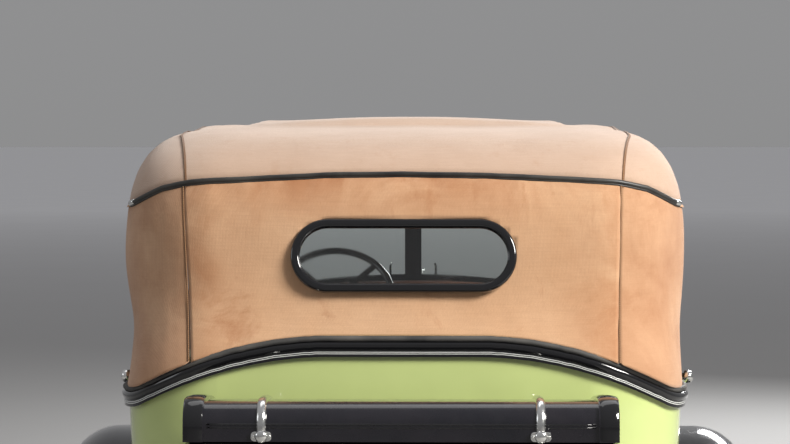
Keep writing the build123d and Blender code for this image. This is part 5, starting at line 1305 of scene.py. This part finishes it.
# %% Door cards
CARD_ROWS, CARD_COLUMNS, CARD_PLEATS = 16, 24, 6
CARD_SIDE, CARD_FOOT, CARD_HEAD = 0.075, 0.07, 0.04  # margins inside the door
for side, name in SIDES:
    for door in DOORS:
        node = f"{door}_{name}"
        low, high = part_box(node)
        surface = node_surface(node)
        rows = []
        for z in spread(low.z + CARD_FOOT, high.z - CARD_HEAD, CARD_ROWS):
            row = []
            for n, y in enumerate(spread(low.y + CARD_SIDE, high.y - CARD_SIDE, CARD_COLUMNS)):
                found = strike(surface, (0, y, z), (side, 0, 0), 1)
                pleat = 2.5 * MM * abs(math.sin(math.pi * CARD_PLEATS * n / CARD_COLUMNS)) ** 0.5
                row.append(found[0] - RIGHTWARD * side * (1.5 * MM + pleat) if found else None)
            if None not in row:
                rows.append(row)
        card = face_outward(grid_object(f"{node}_card", rows))
        thickened(card, 4 * MM, card.data.polygons[0].normal.x * side >= 0)
        dressed(card, "seat_leather", HIDE, node)
        print(card.name, "rows", len(rows))

# %% [markdown]
# The inside of the tub is covered with leather-faced boards too. Rays from the middle of the rear
# seat find its inner wall, and each column of the lining stops just under the rim.

# %% Boards round the rear seat
SEAT_MIDDLE, LINING_FOOT = Vector((0, -1.25, 0)), 0.975
SAMPLES, SAMPLE_STEP, BELOW_RIM, LINING_ROWS = 66, 5 * MM, 3, 20
columns = []
for angle in spread(math.radians(-32), math.radians(212), 96):
    way = Vector((math.cos(angle), -math.sin(angle), 0))
    feet = [SEAT_MIDDLE + UPWARD * (LINING_FOOT + SAMPLE_STEP * n) for n in range(SAMPLES)]
    found = [strike(tub_surface, foot, way, 1.2) for foot in feet]
    top = next((n for n, hit in enumerate(found) if hit is None), SAMPLES - 1) - BELOW_RIM
    if top > 8:
        picked = [found[round(n)][0] for n in spread(0, top, LINING_ROWS)]
        columns.append([place - way * 2.5 * MM for place in picked])
lining = face_outward(grid_object("rear_trim_boards", columns))
thickened(lining, 3 * MM, middle_normal(lining).y <= 0)
dressed(lining, "seat_leather")
print("lining columns", len(columns))

# %% [markdown]
# ## Seats
# A bench is leather over springs. The cushion starts as its CAD block, is rounded by a voxel
# remesh and blown up a little by a cloth simulation. The pleats are pressed in afterwards,
# because remeshing would erase them.

# %% Helpers for cushions
PLEAT, VOXEL, SEAT_EDGE = 0.085, 0.014, 0.06
CUSHION_PLEAT, BACK_PLEAT = 9 * MM, 8 * MM


def seat_blocks():
    """The closed pieces of the CAD seats, as separate objects."""
    work = bmesh.new()
    work.from_mesh(node_object["seats"].data)
    bmesh.ops.remove_doubles(work, verts=work.verts, dist=1e-5)
    seen, blocks = set(), []
    for start in work.verts:
        if start in seen:
            continue
        group, todo = [], [start]
        seen.add(start)
        while todo:
            v = todo.pop()
            group.append(v)
            fresh = [other for other in (e.other_vert(v) for e in v.link_edges) if other not in seen]
            seen.update(fresh)
            todo += fresh
        index = {v: n for n, v in enumerate(group)}
        faces = [[index[v] for v in f.verts] for f in work.faces if f.verts[0] in index]
        blocks.append(new_object(f"seat_block_{len(blocks)}", [v.co.copy() for v in group], faces))
    work.free()
    return blocks


def inflate(item, pressure, cap, steps=14):
    """Blow a closed piece up a little with the cloth solver, then keep the result."""
    cloth = item.modifiers.new("cloth", "CLOTH")
    cloth.settings.use_pressure = True
    cloth.settings.uniform_pressure_force = pressure
    cloth.settings.effector_weights.gravity = 0
    cloth.settings.quality = 4
    cloth.point_cache.frame_end = steps
    for step in range(1, steps + 1):
        bpy.context.scene.frame_set(step)
    shape = item.evaluated_get(bpy.context.evaluated_depsgraph_get())
    moved = [v.co.copy() for v in shape.data.vertices]
    item.modifiers.remove(cloth)
    for v, place in zip(item.data.vertices, moved):
        move = place - v.co
        v.co += move * min(1.0, cap / max(move.length, 1e-9))
    bpy.context.scene.frame_set(1)


# %% Seat cushions
for pad in seat_blocks():
    places = [v.co for v in pad.data.vertices]
    centre = sum(places, Vector()) / len(places)
    lows, highs = (Vector([pick(p[k] for p in places) for k in range(3)]) for pick in (min, max))
    row = "front" if centre.y > -0.8 else "rear"
    part = "back" if highs.z > 1.05 else "cushion"
    for v in pad.data.vertices:
        v.co = centre + (v.co - centre) * 0.985
    with_modifier(pad, "REMESH", mode="VOXEL", voxel_size=VOXEL)
    with_modifier(pad, "SMOOTH", iterations=6, factor=0.6)
    inflate(pad, 3.0, 0.012)
    with_modifier(pad, "SUBSURF", levels=1)
    faces_front = [v.normal.y > 0.3 for v in pad.data.vertices]
    for v, front in zip(pad.data.vertices, faces_front):
        groove = 1 - abs(math.sin(math.pi * v.co.x / PLEAT)) ** 0.5
        inner = max(0.0, min(1.0, (v.co.x - lows.x) / SEAT_EDGE, (highs.x - v.co.x) / SEAT_EDGE))
        if part == "cushion" and v.co.z > highs.z - 0.05:
            v.co.z -= CUSHION_PLEAT * groove * inner
        if part == "back" and front:
            v.co.y -= BACK_PLEAT * groove * inner
        v.co += UPWARD * noise.noise(v.co * 7) * 2 * MM
        for k in range(3):
            v.co[k] = limited(v.co[k], lows[k] - 4 * MM, highs[k] + 8 * MM)
    for polygon in pad.data.polygons:
        polygon.use_smooth = True
    pad.name = f"{row}_seat_{part}"
    dressed(pad, "seat_leather", HIDE, "body", "seats")
    print(pad.name, "faces", len(pad.data.polygons))

# %% [markdown]
# ## Tyres
# Each tyre keeps the CAD outline. The profile here adds the ribs of the sidewall and cuts the
# grooves and blocks of the tread. One set of rings serves all of them.

# %% Tyres
TYRE_R, TYRE_HALF, TREAD_HALF = 0.425, 0.0825, 0.058
AROUND, TREAD_STEPS = 216, 24
TURN = [2 * math.pi * step / AROUND for step in range(AROUND)]
GROOVES, GROOVE_HALF, GROOVE_DEPTH, BLOCK_DEPTH = (0.02, 0.043), 2.8 * MM, 6 * MM, 5.5 * MM
SIDEWALL = [(-0.047, 0.2565), (-0.058, 0.268), (-0.071, 0.288), (-0.0745, 0.2915), (-0.0755, 0.298),
            (-0.079, 0.308), (-0.0815, 0.33), (-0.0815, 0.35), (-0.0805, 0.366), (-0.078, 0.381),
            (-0.0745, 0.392), (-0.069, 0.401), (-0.064, 0.4075)]  # across, radius


def tread_cut(x, step):
    """Depth of the tread's pattern: two pairs of grooves round it and blocks between them."""
    groove = min(abs(abs(x) - across) for across in GROOVES)
    phase = (step + (4 if x > 0 else 0) + round(abs(x) * 60)) % 9
    gap = BLOCK_DEPTH if phase < 2 and abs(x) > GROOVES[0] else 0.0
    return max(GROOVE_DEPTH if groove < GROOVE_HALF else 0.0, gap)


tyre_rings = [[(x, r)] * AROUND for x, r in SIDEWALL]
for x in spread(-TREAD_HALF, TREAD_HALF, TREAD_STEPS):
    crown = TYRE_R - 0.5 * MM - 0.0135 * (x / TREAD_HALF) ** 2 * 0.9
    tyre_rings.append([(x, crown - tread_cut(x, step)) for step in range(AROUND)])
tyre_rings += [[(-x, r)] * AROUND for x, r in reversed(SIDEWALL)]


def place_tyre(name, centre, body, node):
    """A tyre round a wheel's centre."""
    rows = [[Vector((x, math.cos(a) * r, math.sin(a) * r)) + centre for a, (x, r) in zip(TURN, edge)]
            for edge in tyre_rings]
    item = face_outward(grid_object(name, rows, closed=True))
    for polygon in item.data.polygons:
        polygon.use_smooth = abs(polygon.center.x - centre.x) > TREAD_HALF
    dressed(item, "tyre_rubber", TYRE_BLACK, body, node)
    return len(item.data.polygons)


for end in ("front", "rear"):
    for _, name in SIDES:
        low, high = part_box(f"tyre_{end}_{name}")
        place_tyre(f"{end}_{name}_tread", (low + high) / 2, f"wheel_{end}_{name}", f"tyre_{end}_{name}")
low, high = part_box("spare_tyres")
for side, name in SIDES:
    centre = Vector((side * (high.x - TYRE_HALF), (low.y + high.y) / 2, (low.z + high.z) / 2))
    count = place_tyre(f"spare_{name}_tread", centre, "body", "spare_tyres")
print("tyre faces", count)
